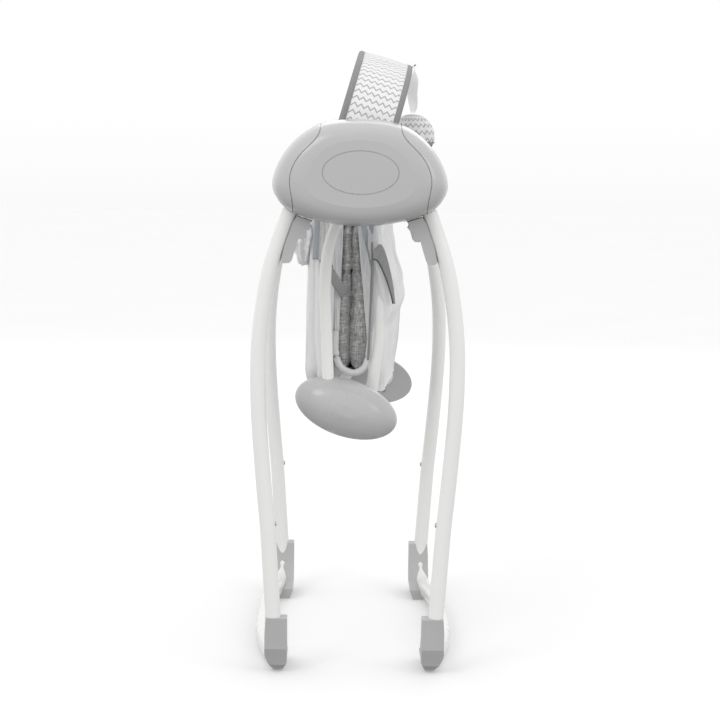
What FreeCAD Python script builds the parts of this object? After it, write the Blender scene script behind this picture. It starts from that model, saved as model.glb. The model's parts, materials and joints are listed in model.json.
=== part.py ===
"""Folding portable baby swing, modelled folded flat for carrying.

Two housings stand side by side, joined by two U-shaped leg frames that hinge in their lower corners.
A seat hangs between the housings on two bent arms, and a padded toy bar arches over it.

+X is the front, +Y is the child's left, +Z is up, and the origin is the middle of the folded footprint.
Lengths are millimetres and angles are degrees.
"""
import FreeCAD, Part
import Sketcher
import math
import os
from FreeCAD import Placement, Rotation, Vector

SIZES = {
    # overall
    "half_span": 225, "pod_half_width": 100.6, "pod_base_z": 524.5, "pod_high": 122,
    "pod_outer_depth": 50, "pod_inner_depth": 38, "shell_wall": 2.6, "groove_deep": 0.9,
    "groove_wide": 1.3, "badge_half_wide": 42.5, "badge_half_high": 23.8, "boss_radius": 4.5,
    "screw_radius": 1.5, "screw_head_radius": 3, "screw_long": 50, "door_half_wide": 38,
    "door_low_z": 537, "door_high_z": 571,
    # leg frames
    "leg_pivot_x": 74, "leg_pivot_z": 558, "leg_wide": 17.8, "leg_deep": 24, "tube_wall": 1.2,
    "leg_joint_z": 156, "foot_half_x": 92, "floor_tube_z": 14, "floor_bow": 20,
    "boot_wide": 26, "boot_high": 66, "boot_long": 62, "boot_wall": 3.2,
    "pin_radius": 4, "run_gap": 0.05, "bracket_radius": 14, "bracket_thick": 26, "slot_gap": 1.3,
    "latch_thick": 20, "latch_gap": 1.4, "snap_radius": 3, "snap_proud": 2.2,
    "snap_z": 176, "snap_x": 103.4,
    # swing
    "swing_pivot_z": 590, "shaft_radius": 6, "bush_wall": 3, "arm_y": 164, "arm_wide": 14,
    "arm_head_radius": 12, "hub_x": 1.4, "hub_z": 304, "hub_half_long": 63, "hub_half_high": 34,
    "hub_tilt": 15.2, "hub_face_y": 152, "hub_plate_thick": 3, "hub_skirt": 12, "hub_dome": 27,
    "hang_skew": 2.77, "hub_wall": 2.4,
    # seat
    "back_pivot_x": -26, "front_pivot_x": 29, "seat_pivot_z": 310, "seat_tube_radius": 7,
    "back_tube_y": 136, "front_tube_y": 118, "back_tube_x": -34, "front_tube_x": 38,
    "back_top_z": 604, "front_top_z": 452, "lug_thick": 9, "lug_radius": 11,
    "back_sling_thick": 34, "front_sling_thick": 22, "pad_thick": 18, "pad_half_wide": 108,
    "back_sling_low": 348, "back_sling_high": 616, "front_sling_low": 352, "front_sling_high": 532,
    "back_pad_low": 350, "back_pad_high": 590, "front_pad_low": 354, "front_pad_high": 514,
    "pad_corner": 6, "buckle_thick": 2.5, "buckle_wide": 48, "buckle_high": 40, "buckle_low": 430,
    # toy bar
    "toy_bar_x": 4, "toy_bar_z": 622, "toy_bar_span": 176, "toy_bar_rise": 104, "toy_bar_lean": 16,
    "toy_bar_square": 2.7,
    "toy_bar_wide": 67, "toy_core_thick": 3, "toy_cover_thick": 3, "toy_y": 48, "toy_z": 626,
    "toy_half_deep": 28, "toy_half_wide": 26, "toy_half_high": 29, "ribbon_low_z": 655,
    "ribbon_thick": 2, "ribbon_wide": 10, "ribbon_roll": 1.8,
    # electrics
    "cell_radius": 13, "cell_long": 50, "cell_z": 600, "contact_thick": 0.6, "contact_long": 48,
    "contact_high": 12, "button_radius": 6, "button_long": 8, "board_thick": 1.6, "drive_z": 551,
    "coil_radius": 15, "coil_bore": 5, "coil_long": 10, "magnet_radius": 7, "magnet_thick": 3,
    "rocker_radius": 11, "rocker_wide": 12, "rocker_thick": 8,
}

RIGHT, LEFT = -1, 1
REAR, FRONT = -1, 1
SIDES = {"right": RIGHT, "left": LEFT}
ENDS = {"rear": REAR, "front": FRONT}
X_AXIS, Y_AXIS, Z_AXIS = Vector(1, 0, 0), Vector(0, 1, 0), Vector(0, 0, 1)

doc = FreeCAD.newDocument("baby_swing")
sheet = doc.addObject("Spreadsheet::Sheet", "Sizes")
for row, (alias, value) in enumerate(SIZES.items(), 1):
    sheet.set(f"A{row}", alias)
    sheet.set(f"B{row}", str(value))
    sheet.setAlias(f"B{row}", alias)
doc.recompute()

subparts = {}


def size(alias):
    """A driving dimension, read back from the sheet."""
    return float(sheet.get(alias))


def keep(obj, node):
    """Give a finished object the name of its sub-part."""
    obj.Label = node
    subparts[node] = obj
    return obj


def feature(node, shape):
    """A free-form sub-part."""
    obj = doc.addObject("Part::Feature", "shape_" + node)
    obj.Shape = shape
    return keep(obj, node)


def bind(obj, **expressions):
    """Tie properties to cells of the sheet."""
    for name, expression in expressions.items():
        obj.setExpression(name.replace("__", "."), expression)
    return obj


# ---------------------------------------------------------------- sketches and bodies

def new_body(node):
    return keep(doc.addObject("PartDesign::Body", "body_" + node), node)


def new_sketch(body, plane, lift=None):
    """A sketch on one of the body's own origin planes, lifted along its normal."""
    sketch = body.newObject("Sketcher::SketchObject", "sketch")
    base = next(f for f in body.Origin.OriginFeatures if f.Role == plane + "_Plane")
    sketch.AttachmentSupport = [(base, "")]
    sketch.MapMode = "FlatFace"
    if lift:
        sketch.setExpression("AttachmentOffset.Base.z", lift)
    return sketch


def sketch_circle(sketch, radius, x=0, y=0):
    index = sketch.addGeometry(Part.Circle(Vector(x, y, 0), Z_AXIS, 1.0), False)
    number = sketch.addConstraint(Sketcher.Constraint("Radius", index, 1.0))
    sketch.setExpression(f"Constraints[{number}]", radius)


def sketch_outline(sketch, points):
    """A closed outline of straight edges."""
    count = len(points)
    lines = []
    for i in range(count):
        start = Vector(points[i][0], points[i][1], 0)
        end = Vector(points[(i + 1) % count][0], points[(i + 1) % count][1], 0)
        lines.append(Part.LineSegment(start, end))
    first = sketch.addGeometry(lines, False)[0]
    for i in range(count):
        sketch.addConstraint(Sketcher.Constraint("Coincident", first + i, 2, first + (i + 1) % count, 1))


def pad(body, sketch, length, centred=False, backwards=False):
    extrusion = body.newObject("PartDesign::Pad", "pad")
    extrusion.Profile = sketch
    extrusion.Midplane = centred
    extrusion.Reversed = backwards
    extrusion.setExpression("Length", length)
    doc.recompute()
    return extrusion


def place(obj, base, rotation=None):
    obj.Placement = Placement(base, rotation or Rotation())
    return obj


# ---------------------------------------------------------------- primitives tied to the sheet

def bar_y(radius, start, end, x=0.0, z=0.0):
    """A round bar along Y between two values of Y."""
    bar = doc.addObject("Part::Cylinder", "bar")
    bind(bar, Radius=radius)
    bar.Height = abs(end - start)
    return place(bar, Vector(x, min(start, end), z), Rotation(X_AXIS, -90))


def block(low, **expressions):
    """A box from its lowest corner, its Length, Width and Height tied to the sheet."""
    return place(bind(doc.addObject("Part::Box", "block"), **expressions), low)


def joined(*pieces):
    whole = doc.addObject("Part::MultiFuse", "joined")
    whole.Shapes = list(pieces)
    return whole


def cut_away(base, tool):
    cut = doc.addObject("Part::Cut", "cut_away")
    cut.Base = base
    cut.Tool = tool
    return cut


def tool_feature(shape):
    """A free-form tool for a cut."""
    tool = doc.addObject("Part::Feature", "tool")
    tool.Shape = shape
    return tool


def grouped(node, pieces):
    """Separate solids that share one sub-part."""
    group = doc.addObject("Part::Compound", "group_" + node)
    group.Links = pieces
    return keep(group, node)


# ---------------------------------------------------------------- shapes shared by several sub-parts

def cylinder_y(radius, start, end, x=0.0, z=0.0):
    """A cylinder along Y between two values of Y."""
    low, high = min(start, end), max(start, end)
    return Part.makeCylinder(radius, high - low, Vector(x, low, z), Y_AXIS)


def box_between(low, high):
    return Part.makeBox(high[0] - low[0], high[1] - low[1], high[2] - low[2], Vector(*low))


def obround(centre, along, wide, deep, cross=Y_AXIS):
    """A flat-oval wire at a point: wide across, deep along the cross direction."""
    side = along.cross(cross)
    side.normalize()
    radius = wide / 2
    straight = (deep - wide) / 2
    corners = {}
    for s in (-1, 1):
        for c in (-1, 1):
            corners[s, c] = centre + side * (s * radius) + cross * (c * straight)
    tips = {c: centre + cross * (c * (straight + radius)) for c in (-1, 1)}
    edges = [Part.LineSegment(corners[1, -1], corners[1, 1]).toShape(),
             Part.Arc(corners[1, 1], tips[1], corners[-1, 1]).toShape(),
             Part.LineSegment(corners[-1, 1], corners[-1, -1]).toShape(),
             Part.Arc(corners[-1, -1], tips[-1], corners[1, -1]).toShape()]
    return Part.Wire(edges)


def smooth_path(points, start=None, end=None):
    """One smooth curve through the points, with optional end directions."""
    curve = Part.BSplineCurve()
    if start is None:
        curve.interpolate(points)
    else:
        curve.interpolate(Points=points, InitialTangent=start, FinalTangent=end)
    return curve


def sweep_obround(curve, wide, deep):
    """A solid flat-oval bar along a curve that starts square to Y."""
    path = curve if isinstance(curve, Part.Wire) else Part.Wire([curve.toShape()])
    first = path.OrderedEdges[0]
    start = first.valueAt(first.FirstParameter)
    along = first.tangentAt(first.FirstParameter)
    profile = obround(start, along, wide, deep)
    return path.makePipeShell([profile], True, False)


def sweep_round(path, start, along, radius):
    profile = Part.Wire([Part.Circle(start, along, radius).toShape()])
    return path.makePipeShell([profile], True, False)


def rounded_path(points, radii):
    """Straight runs joined by tangent arcs, with one radius for each corner."""
    edges = []
    last = points[0]
    for i in range(1, len(points) - 1):
        corner = points[i]
        back = (points[i - 1] - corner).normalize()
        ahead = (points[i + 1] - corner).normalize()
        half = back.getAngle(ahead) / 2
        radius = radii[i - 1]
        reach = radius / math.tan(half)
        bisector = (back + ahead).normalize()
        first = corner + back * reach
        second = corner + ahead * reach
        middle = corner + bisector * (radius / math.sin(half) - radius)
        edges.append(Part.LineSegment(last, first).toShape())
        edges.append(Part.Arc(first, middle, second).toShape())
        last = second
    edges.append(Part.LineSegment(last, points[-1]).toShape())
    return Part.Wire(edges)


# ---------------------------------------------------------------- housings

def pod_outline(scale, y, inset=0.0):
    """The housing's front outline, a wide low helmet, scaled about its middle."""
    half = size("pod_half_width")
    high = size("pod_high")
    base = size("pod_base_z")
    middle = base + high * 0.49
    shape = [(0, 1), (0.22, 0.992), (0.48, 0.945), (0.69, 0.84), (0.875, 0.668), (0.975, 0.496),
             (1, 0.38), (0.96, 0.27), (0.86, 0.168), (0.72, 0.105), (0.45, 0.04), (0, 0)]
    right = [(u * half, base + v * high) for u, v in shape]
    left = [(-x, z) for x, z in reversed(right[1:-1])]
    shrink_x = scale * (half - inset) / half
    shrink_z = scale * (high / 2 - inset) / (high / 2)
    points = [Vector(x * shrink_x, y, middle + (z - middle) * shrink_z) for x, z in right + left]
    curve = Part.BSplineCurve()
    curve.interpolate(points, PeriodicFlag=True)
    return Part.Wire([curve.toShape()])


OUTER_STATIONS = [(0.0, 1.0), (0.3, 0.992), (0.58, 0.962), (0.8, 0.9), (0.93, 0.8), (1.0, 0.62)]
INNER_STATIONS = [(0.0, 1.0), (0.4, 0.992), (0.75, 0.96), (0.93, 0.9), (1.0, 0.83)]


def pod_solid(side, outward, inset=0.0):
    """Half of a housing, from its seam out to the dome or in to the flat inner wall."""
    stations = OUTER_STATIONS if outward else INNER_STATIONS
    depth = size("pod_outer_depth") if outward else size("pod_inner_depth")
    direction = side if outward else -side
    seam = side * size("half_span")
    wires = []
    for fraction, scale in stations:
        y = seam + direction * fraction * (depth - inset)
        wires.append(pod_outline(scale, y, inset))
    return Part.makeLoft(wires, True, False)


def leg_slot(side, end):
    """The space swept by one leg, its bracket and its latch as the frame opens."""
    x = end * size("leg_pivot_x")
    z = size("leg_pivot_z")
    half = size("bracket_thick") / 2 + size("slot_gap")
    low = side * size("half_span") - half
    round_part = Part.makeCylinder(size("bracket_radius") + size("slot_gap"), 2 * half,
                                   Vector(x, low, z), Y_AXIS)
    reach = 75
    inward = math.radians(40)
    outward = math.radians(72)
    tip = Vector(x, low, z + 9)
    inner = tip + Vector(-end * math.sin(inward), 0, -math.cos(inward)) * reach
    outer = tip + Vector(end * math.sin(outward), 0, -math.cos(outward)) * reach
    far = Vector(x + end * reach * 0.35, low, z - reach * 1.1)
    wedge = Part.Face(Part.makePolygon([tip, inner, far, outer, tip]))
    return round_part.fuse(wedge.extrude(Vector(0, 2 * half, 0)))


def ribbon_face(points, wide, y):
    """A flat band of one width along a curve through points in the XZ plane at y."""
    curve = smooth_path([Vector(x, y, z) for x, z in points])
    first, last = curve.FirstParameter, curve.LastParameter
    edges = {-1: [], 1: []}
    count = 12
    for i in range(count + 1):
        at = first + (last - first) * i / count
        across = Vector(*curve.tangent(at)[0]).cross(Y_AXIS).normalize()
        for hand in (-1, 1):
            edges[hand].append(curve.value(at) + across * (hand * wide / 2))
    near = smooth_path(edges[-1])
    far = smooth_path(edges[1][::-1])
    closing = Part.LineSegment(edges[-1][-1], edges[1][-1]).toShape()
    opening = Part.LineSegment(edges[1][0], edges[-1][0]).toShape()
    return Part.Face(Part.Wire([near.toShape(), closing, far.toShape(), opening]))


def oval_face(half_wide, half_high, y):
    """An oval in the XZ plane at y, centred on the housing's face."""
    ellipse = Part.Ellipse(Vector(0, 0, 0), half_wide, half_high)
    face = Part.Face(Part.Wire([ellipse.toShape()]))
    face.Placement = Placement(Vector(0, y, pod_middle()), Rotation(X_AXIS, 90))
    return face


def face_grooves(side):
    """Shallow grooves along the two styling lines and round the oval on the housing's face."""
    wide = size("groove_wide")
    seam = side * size("half_span")
    reach = Vector(0, side * (size("pod_outer_depth") + 5), 0)
    shoulder = [(46, 641), (47.5, 630), (63, 612), (75, 596), (80, 579), (78, 560), (77, 537)]
    tools = []
    for end in ENDS.values():
        band = ribbon_face([(end * x, z) for x, z in shoulder], wide, seam)
        tools.append(band.extrude(reach))
    outer = oval_face(size("badge_half_wide") + wide, size("badge_half_high") + wide, seam)
    inner = oval_face(size("badge_half_wide"), size("badge_half_high"), seam)
    tools.append(outer.extrude(reach).cut(inner.extrude(reach)))
    kept = pod_solid(side, True, size("groove_deep"))
    return [tool.cut(kept) for tool in tools]


def pod_middle():
    return size("pod_base_z") + size("pod_high") * 0.51


def pin_bosses(side, start, end):
    """Posts that hold the two leg hinge pins."""
    posts = []
    for hand in ENDS.values():
        posts.append(cylinder_y(8, start, end, hand * size("leg_pivot_x"), size("leg_pivot_z")))
    return posts


def pod_outer_shell(side):
    wall = size("shell_wall")
    seam = side * size("half_span")
    solid = pod_solid(side, True)
    hollow = pod_solid(side, True, wall)
    shell = solid.cut(hollow)
    clear = seam + side * (size("bracket_thick") / 2 + size("slot_gap"))
    deep = seam + side * (size("pod_outer_depth") - 8)
    for post in pin_bosses(side, clear, deep):
        shell = shell.fuse(post.common(solid))
    for end in ENDS.values():
        x = end * size("leg_pivot_x")
        bore = cylinder_y(size("pin_radius"), seam, seam + side * 34, x, size("leg_pivot_z"))
        shell = shell.cut(bore).cut(leg_slot(side, end))
    shell = screw_bosses(shell, solid, side, seam, seam + side * size("pod_outer_depth"))
    for tool in face_grooves(side):
        shell = shell.cut(tool)
    if side == LEFT:
        shell = cut_controls(shell)
    return shell


def button_places():
    """The two control buttons, in a row across the oval panel."""
    return [Vector(x, 0, pod_middle()) for x in (-15, 15)]


def cut_controls(shell):
    outside = size("half_span") + size("pod_outer_depth") + 5
    for spot in button_places():
        radius = size("button_radius") + 0.4
        shell = shell.cut(cylinder_y(radius, size("half_span") + 20, outside, spot.x, spot.z))
    return shell


def pod_inner_shell(side):
    wall = size("shell_wall")
    seam = side * size("half_span")
    solid = pod_solid(side, False)
    shell = solid.cut(pod_solid(side, False, wall))
    clear = seam - side * (size("bracket_thick") / 2 + size("slot_gap"))
    flat = seam - side * (size("pod_inner_depth") - 1)
    for post in pin_bosses(side, clear, flat):
        shell = shell.fuse(post.common(solid))
    for end in ENDS.values():
        x = end * size("leg_pivot_x")
        bore = cylinder_y(size("pin_radius"), seam, seam - side * 30, x, size("leg_pivot_z"))
        shell = shell.cut(bore).cut(leg_slot(side, end))
    shell = screw_bosses(shell, solid, side, seam, flat)
    bush = size("shaft_radius") + size("bush_wall")
    shell = shell.cut(cylinder_y(bush, seam, flat - side * 5, 0, size("swing_pivot_z")))
    plug = size("toy_bar_x")
    shell = shell.cut(cylinder_y(4.3, seam, flat - side * 5, plug, size("toy_bar_z")))
    if side == LEFT:
        shell = shell.cut(door_opening(0.4))
    return shell


def door_opening(gap):
    """The battery door's opening in the flat inner wall, under the swing shaft."""
    face = size("half_span") - size("pod_inner_depth")
    half = size("door_half_wide") + gap
    return box_between((-half, face - 1, size("door_low_z") - gap),
                       (half, face + size("shell_wall") + 1.4, size("door_high_z") + gap))


def make_housings():
    pins = []
    screws = []
    for name, side in SIDES.items():
        feature(f"{name}_pod_outer_shell", pod_outer_shell(side))
        feature(f"{name}_pod_inner_shell", pod_inner_shell(side))
        seam = side * size("half_span")
        for end in ENDS.values():
            pins.append(bar_y("Sizes.pin_radius - 0.02", seam - side * 29, seam + side * 33,
                              end * size("leg_pivot_x"), size("leg_pivot_z")))
        for x, z in screw_places():
            screws.append(housing_screw(side, x, z))
    grouped("leg_hinge_pins", pins)
    grouped("housing_screws", screws)
    make_bushes()
    make_electrics()


def screw_places():
    """Where three screws draw each housing's halves together."""
    return [(-30, 629), (30, 629), (0, 531)]


def housing_screw(side, x, z):
    """A pan-head screw driven in from the inner wall."""
    wall = side * (size("half_span") - size("pod_inner_depth"))
    head = bar_y("Sizes.screw_head_radius", wall + side * 1, wall + side * 3, x, z)
    shank = bar_y("Sizes.screw_radius", wall + side * 3, wall + side * size("screw_long"), x, z)
    return joined(head, shank)


def screw_bosses(shell, solid, side, start, end):
    """Add the posts that take the screws, and bore them."""
    wall = side * (size("half_span") - size("pod_inner_depth"))
    shank = size("screw_radius") + 0.05
    head = size("screw_head_radius") + 0.1
    for x, z in screw_places():
        shell = shell.fuse(cylinder_y(size("boss_radius"), start, end, x, z).common(solid))
        shell = shell.cut(cylinder_y(shank, wall - side, wall + side * (size("screw_long") + 0.5), x, z))
        shell = shell.cut(cylinder_y(head, wall - side, wall + side * 3, x, z))
    return shell


def make_bushes():
    """A flanged plastic bush for the swing shaft in each inner wall."""
    bushes = []
    for side in SIDES.values():
        wall = side * (size("half_span") - size("pod_inner_depth"))
        bushes.append(new_bush(side, wall))
    grouped("shaft_bushes", bushes)


def new_bush(side, wall):
    """One bush: a sleeve and a flange round the running bore."""
    z = size("swing_pivot_z")
    sleeve = bar_y("Sizes.shaft_radius + Sizes.bush_wall - 0.05", wall, wall + side * 12, 0, z)
    flange = bar_y("Sizes.shaft_radius + Sizes.bush_wall + 2.5", wall - side * 2, wall, 0, z)
    bore = bar_y("Sizes.shaft_radius + Sizes.run_gap", wall - side * 3, wall + side * 13, 0, z)
    return cut_away(joined(sleeve, flange), bore)


def flat_body(node, outline, thick, y):
    """A plate with an outline in the XZ plane, standing back from y."""
    body = new_body(node)
    sketch = new_sketch(body, "XZ")
    sketch_outline(sketch, outline)
    pad(body, sketch, thick, backwards=True)
    return place(body, Vector(0, y, 0))


def round_body(node, radii, thick, place_at):
    """A disc or a ring, its axis along Y."""
    body = new_body(node)
    sketch = new_sketch(body, "XZ")
    for radius in radii:
        sketch_circle(sketch, radius)
    pad(body, sketch, thick, backwards=True)
    return place(body, place_at)


def make_electrics():
    """Battery power, the swing's drive coil, its control board and buttons, in the left housing."""
    wall = size("half_span") - size("pod_inner_depth")
    face = size("half_span") + size("pod_outer_depth")
    near_end = wall + 12
    far_end = near_end + size("cell_long")
    cells = [bar_y("Sizes.cell_radius", near_end, far_end, x, size("cell_z")) for x in (-60, -31, 31, 60)]
    grouped("batteries", cells)

    contacts = []
    for middle in (-45.5, 45.5):
        for y in (near_end - size("contact_thick"), far_end):
            low = Vector(middle - size("contact_long") / 2, y, size("cell_z") - size("contact_high") / 2)
            contacts.append(block(low, Length="Sizes.contact_long", Width="Sizes.contact_thick",
                                  Height="Sizes.contact_high"))
    grouped("battery_contacts", contacts)

    half, low, high = size("door_half_wide"), size("door_low_z"), size("door_high_z")
    door = [(-half, low), (half, low), (half, high), (-half, high)]
    flat_body("battery_door", door, "Sizes.shell_wall", wall)
    middle = pod_middle()
    board = [(-34, middle - 15), (34, middle - 15), (34, middle + 15), (-34, middle + 15)]
    flat_body("control_board", board, "Sizes.board_thick", face - 12.5)
    round_body("drive_coil", ("Sizes.coil_radius", "Sizes.coil_bore"), "Sizes.coil_long",
               Vector(0, wall + 32, size("drive_z")))
    for name, spot in zip(("power", "timer"), button_places()):
        round_body(f"{name}_button", ("Sizes.button_radius",), "Sizes.button_long",
                   Vector(spot.x, face - size("button_long"), spot.z))


# ---------------------------------------------------------------- leg frames

LEG_LINE = [(74, 558), (79, 544), (85.6, 526), (92, 508), (99.4, 485), (109, 439), (114.4, 393),
            (115.6, 346), (113.8, 299), (110.2, 252), (106, 205), (101.6, 156)]


def leg_curve(end, side):
    """The upper leg's centre line, from the hinge pin down to the joint."""
    y = side * size("half_span")
    points = [Vector(end * x, y, z) for x, z in LEG_LINE]
    return smooth_path(points, Vector(end * 0.34, 0, -0.94), joint_direction(end))


def joint_direction(end):
    """The way both tubes run, downward, where the upper leg meets the floor tube."""
    across = end * (size("foot_half_x") - LEG_LINE[-1][0])
    return Vector(across, 0, size("floor_tube_z") - size("leg_joint_z")).normalize()


def leg_bar(end, side, wide, deep, low=0.0, high=1.0):
    """A stretch of the leg's line as a solid bar, between two fractions of its length."""
    curve = leg_curve(end, side)
    first, last = curve.FirstParameter, curve.LastParameter
    part_curve = curve.copy()
    part_curve.segment(first + (last - first) * low, first + (last - first) * high)
    return sweep_obround(part_curve, wide, deep)


def upper_leg(end, side):
    wide, deep, wall = size("leg_wide"), size("leg_deep"), size("tube_wall")
    tube = leg_bar(end, side, wide, deep, 0.045).cut(leg_bar(end, side, wide - 2 * wall, deep - 2 * wall))
    return tube.cut(snap_hole(end, side))


def snap_hole(end, side):
    """The hole in the inner face of both tubes for the snap button."""
    start = Vector(end * size("snap_x"), side * size("half_span"), size("snap_z"))
    return Part.makeCylinder(size("snap_radius") + 0.15, 20, start, Vector(-end, 0, 0))


def lower_path(end):
    """The lower tube's centre line: down one side, across the floor, bowed outward, and up again."""
    span, foot = size("half_span"), size("foot_half_x")
    floor = size("floor_tube_z")
    bow = foot + size("floor_bow")
    near = [Vector(end * LEG_LINE[-1][0], -span, size("leg_joint_z")), Vector(end * foot, -span, floor),
            Vector(end * bow, -span * 0.45, floor)]
    far = [Vector(point.x, -point.y, point.z) for point in reversed(near)]
    return rounded_path(near + far, (44, 600, 600, 44))


def spigot_bar(end, side, wide, deep, reach):
    """A bar inside the foot of the upper leg that runs on straight into the floor tube."""
    curve = leg_curve(end, side)
    first, last = curve.FirstParameter, curve.LastParameter
    curve.segment(first + (last - first) * 0.9, last)
    foot = curve.value(curve.LastParameter)
    run = Part.LineSegment(foot, foot + joint_direction(end) * reach)
    return sweep_obround(Part.Wire([curve.toShape(), run.toShape()]), wide, deep)


def lower_tube(end):
    """One bent tube, with a necked-down spigot at each top that slides into the upper leg."""
    wide, deep, wall = size("leg_wide"), size("leg_deep"), size("tube_wall")
    path = lower_path(end)
    neck = 2 * wall + 0.2
    bore = neck + 2 * wall
    collar = 8
    below = box_between((-200, -300, -50), (200, 300, size("leg_joint_z") - collar))
    tube = sweep_obround(path, wide, deep)
    for side in SIDES.values():
        tube = tube.fuse(spigot_bar(end, side, wide - neck, deep - neck, collar))
    tube = tube.cut(sweep_obround(path, wide - 2 * wall, deep - 2 * wall).common(below))
    for side in SIDES.values():
        tube = tube.cut(spigot_bar(end, side, wide - bore, deep - bore, collar + 4))
        tube = tube.cut(snap_hole(end, side))
    return tube


def boot(end, side):
    """A moulded boot over the outside of an elbow, tapered towards the floor."""
    span, foot = size("half_span"), size("foot_half_x")
    high, deep = size("boot_high"), size("leg_deep")
    out = span + deep / 2 + size("boot_wall")
    reach = span - size("boot_long")
    half_wide = size("boot_wide") / 2
    floor_top = size("floor_tube_z") + deep / 2
    side_view = [(out, high), (out, 30), (out - 9, 9), (out - 30, 0), (reach, 0), (reach, floor_top * 0.5),
                 (span - 34, 22), (span - 17, 40), (span - 8, high)]
    outline = Part.makePolygon([Vector(0, side * a, b) for a, b in side_view + side_view[:1]])
    block = Part.Face(outline).extrude(Vector(end * 2 * half_wide, 0, 0))
    block.translate(Vector(end * (foot - half_wide), 0, 0))
    front_view = [(foot - half_wide, high), (foot + half_wide - 1, high), (foot + half_wide + 0.5, 42),
                  (foot + half_wide + 1.5, 29), (foot + half_wide - 0.5, 20), (foot + 4, 0.0),
                  (foot - 8.5, 0.0), (foot - half_wide - 0.5, 14)]
    low_y = min(0, side * 300)
    face = Part.Face(Part.makePolygon([Vector(end * a, low_y, b) for a, b in front_view + front_view[:1]]))
    block = block.common(face.extrude(Vector(0, 300, 0)))
    clearance = sweep_obround(lower_path(end), size("leg_wide") + 0.2, deep + 0.2)
    return block.cut(clearance)


def hinge_bracket(end, side):
    """The leg's moulded hinge: an eye on the pin and a plug driven into the tube."""
    x, z = end * size("leg_pivot_x"), size("leg_pivot_z")
    y = side * size("half_span")
    half = size("bracket_thick") / 2
    wall = size("tube_wall")
    eye = cylinder_y(size("bracket_radius"), y - half, y + half, x, z)
    less = 2 * wall + 0.1
    plug = leg_bar(end, side, size("leg_wide") - less, size("leg_deep") - less, 0.0, 0.13)
    bore = cylinder_y(size("pin_radius") + size("run_gap"), y - half - 1, y + half + 1, x, z)
    tube = leg_bar(end, side, size("leg_wide") + 0.1, size("leg_deep") + 0.1, 0.045, 0.2)
    return eye.cut(tube).fuse(plug).cut(bore)


LATCH_OUTLINE = [(72, 535.5), (54.5, 529.8), (57.5, 526.5), (55, 523), (58.4, 519.3), (60.6, 519.6),
                 (61.6, 515.6), (61.2, 511), (65.4, 508.4), (70, 509.4), (73, 499), (77.6, 484),
                 (80.4, 481.4), (87, 481), (90, 484), (82, 520)]


def release_latch(node, end, side):
    """A latch with finger scallops that slides down the inside of the leg to free the hinge."""
    low = side * size("half_span") - size("latch_thick") / 2
    slab = flat_body(node + "_slab", [(end * a, b) for a, b in LATCH_OUTLINE], "Sizes.latch_thick", low)
    del subparts[node + "_slab"]
    gap = 2 * size("latch_gap")
    leg = leg_bar(end, side, size("leg_wide") + gap, size("leg_deep") + gap, 0.0, 0.5)
    eye = cylinder_y(size("bracket_radius") + 1, low - 10, low + size("latch_thick") + 10,
                     end * size("leg_pivot_x"), size("leg_pivot_z"))
    return keep(cut_away(slab, tool_feature(leg.fuse(eye))), node)


def snap_button(node, end, side):
    """A sprung pin inside the tube whose domed tip locks the two leg tubes together."""
    start = Vector(end * size("snap_x"), side * size("half_span"), size("snap_z"))
    inward = Rotation(Y_AXIS, -90 * end)
    way = Vector(-end, 0, 0)
    inner = 2
    tip_long = 0.8
    outer = size("leg_wide") / 2 + size("snap_proud") - tip_long
    shank = bind(doc.addObject("Part::Cylinder", "shank"), Radius="Sizes.snap_radius")
    shank.Height = inner + outer
    place(shank, start - way * inner, inward)
    tip = doc.addObject("Part::Cone", "tip")
    bind(tip, Radius1="Sizes.snap_radius", Radius2="Sizes.snap_radius - 1.2")
    tip.Height = tip_long
    place(tip, start + way * outer, inward)
    return keep(joined(shank, tip), node)


def make_leg_frames():
    for end_name, end in ENDS.items():
        for side_name, side in SIDES.items():
            where = f"{end_name}_{side_name}"
            feature(f"{where}_upper_leg", upper_leg(end, side))
            feature(f"{where}_hinge_bracket", hinge_bracket(end, side))
            release_latch(f"{where}_release_latch", end, side)
            snap_button(f"{where}_snap_button", end, side)
            feature(f"{where}_boot", boot(end, side))
        feature(f"{end_name}_floor_tube", lower_tube(end))


# ---------------------------------------------------------------- swing

def hung(shape, side):
    """Turn one side of the swing a little about its shafts: folded, the two arms hang out of line."""
    pivot = Vector(0, 0, size("swing_pivot_z"))
    turned = shape.copy()
    turned.rotate(pivot, Y_AXIS, -side * size("hang_skew"))
    return turned


ARM_LINE = [(-33, 492), (-32, 440), (-19, 306)]
ARM_BEND = 150


def arm_bar(side, radius):
    """A round bar along the arm's line: out from the shaft, bent, and down into the hub."""
    y = side * size("arm_y")
    points = [Vector(0, y, size("swing_pivot_z"))] + [Vector(x, y, z) for x, z in ARM_LINE]
    along = (points[1] - points[0]).normalize()
    return sweep_round(rounded_path(points, (ARM_BEND, ARM_BEND)), points[0], along, radius)


def swing_arm(side):
    y = side * size("arm_y")
    radius = size("arm_wide") / 2
    pivot_z = size("swing_pivot_z")
    tube = arm_bar(side, radius).cut(arm_bar(side, radius - size("tube_wall")))
    head = cylinder_y(size("arm_head_radius"), y - 8, y + 8, 0, pivot_z)
    hole = cylinder_y(size("shaft_radius"), y - 9, y + 9, 0, pivot_z)
    return hung(tube.fuse(head).cut(hole), side)


def hub_oval(grow, y, thick):
    """An oval slab in the hub's tilted outline."""
    ellipse = Part.Ellipse(Vector(0, 0, 0), size("hub_half_long") + grow, size("hub_half_high") + grow)
    face = Part.Face(Part.Wire([ellipse.toShape()]))
    face.Placement = Placement(Vector(size("hub_x"), y, size("hub_z")),
                               Rotation(Y_AXIS, size("hub_tilt")) * Rotation(X_AXIS, 90))
    return face.extrude(Vector(0, thick, 0))


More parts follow.
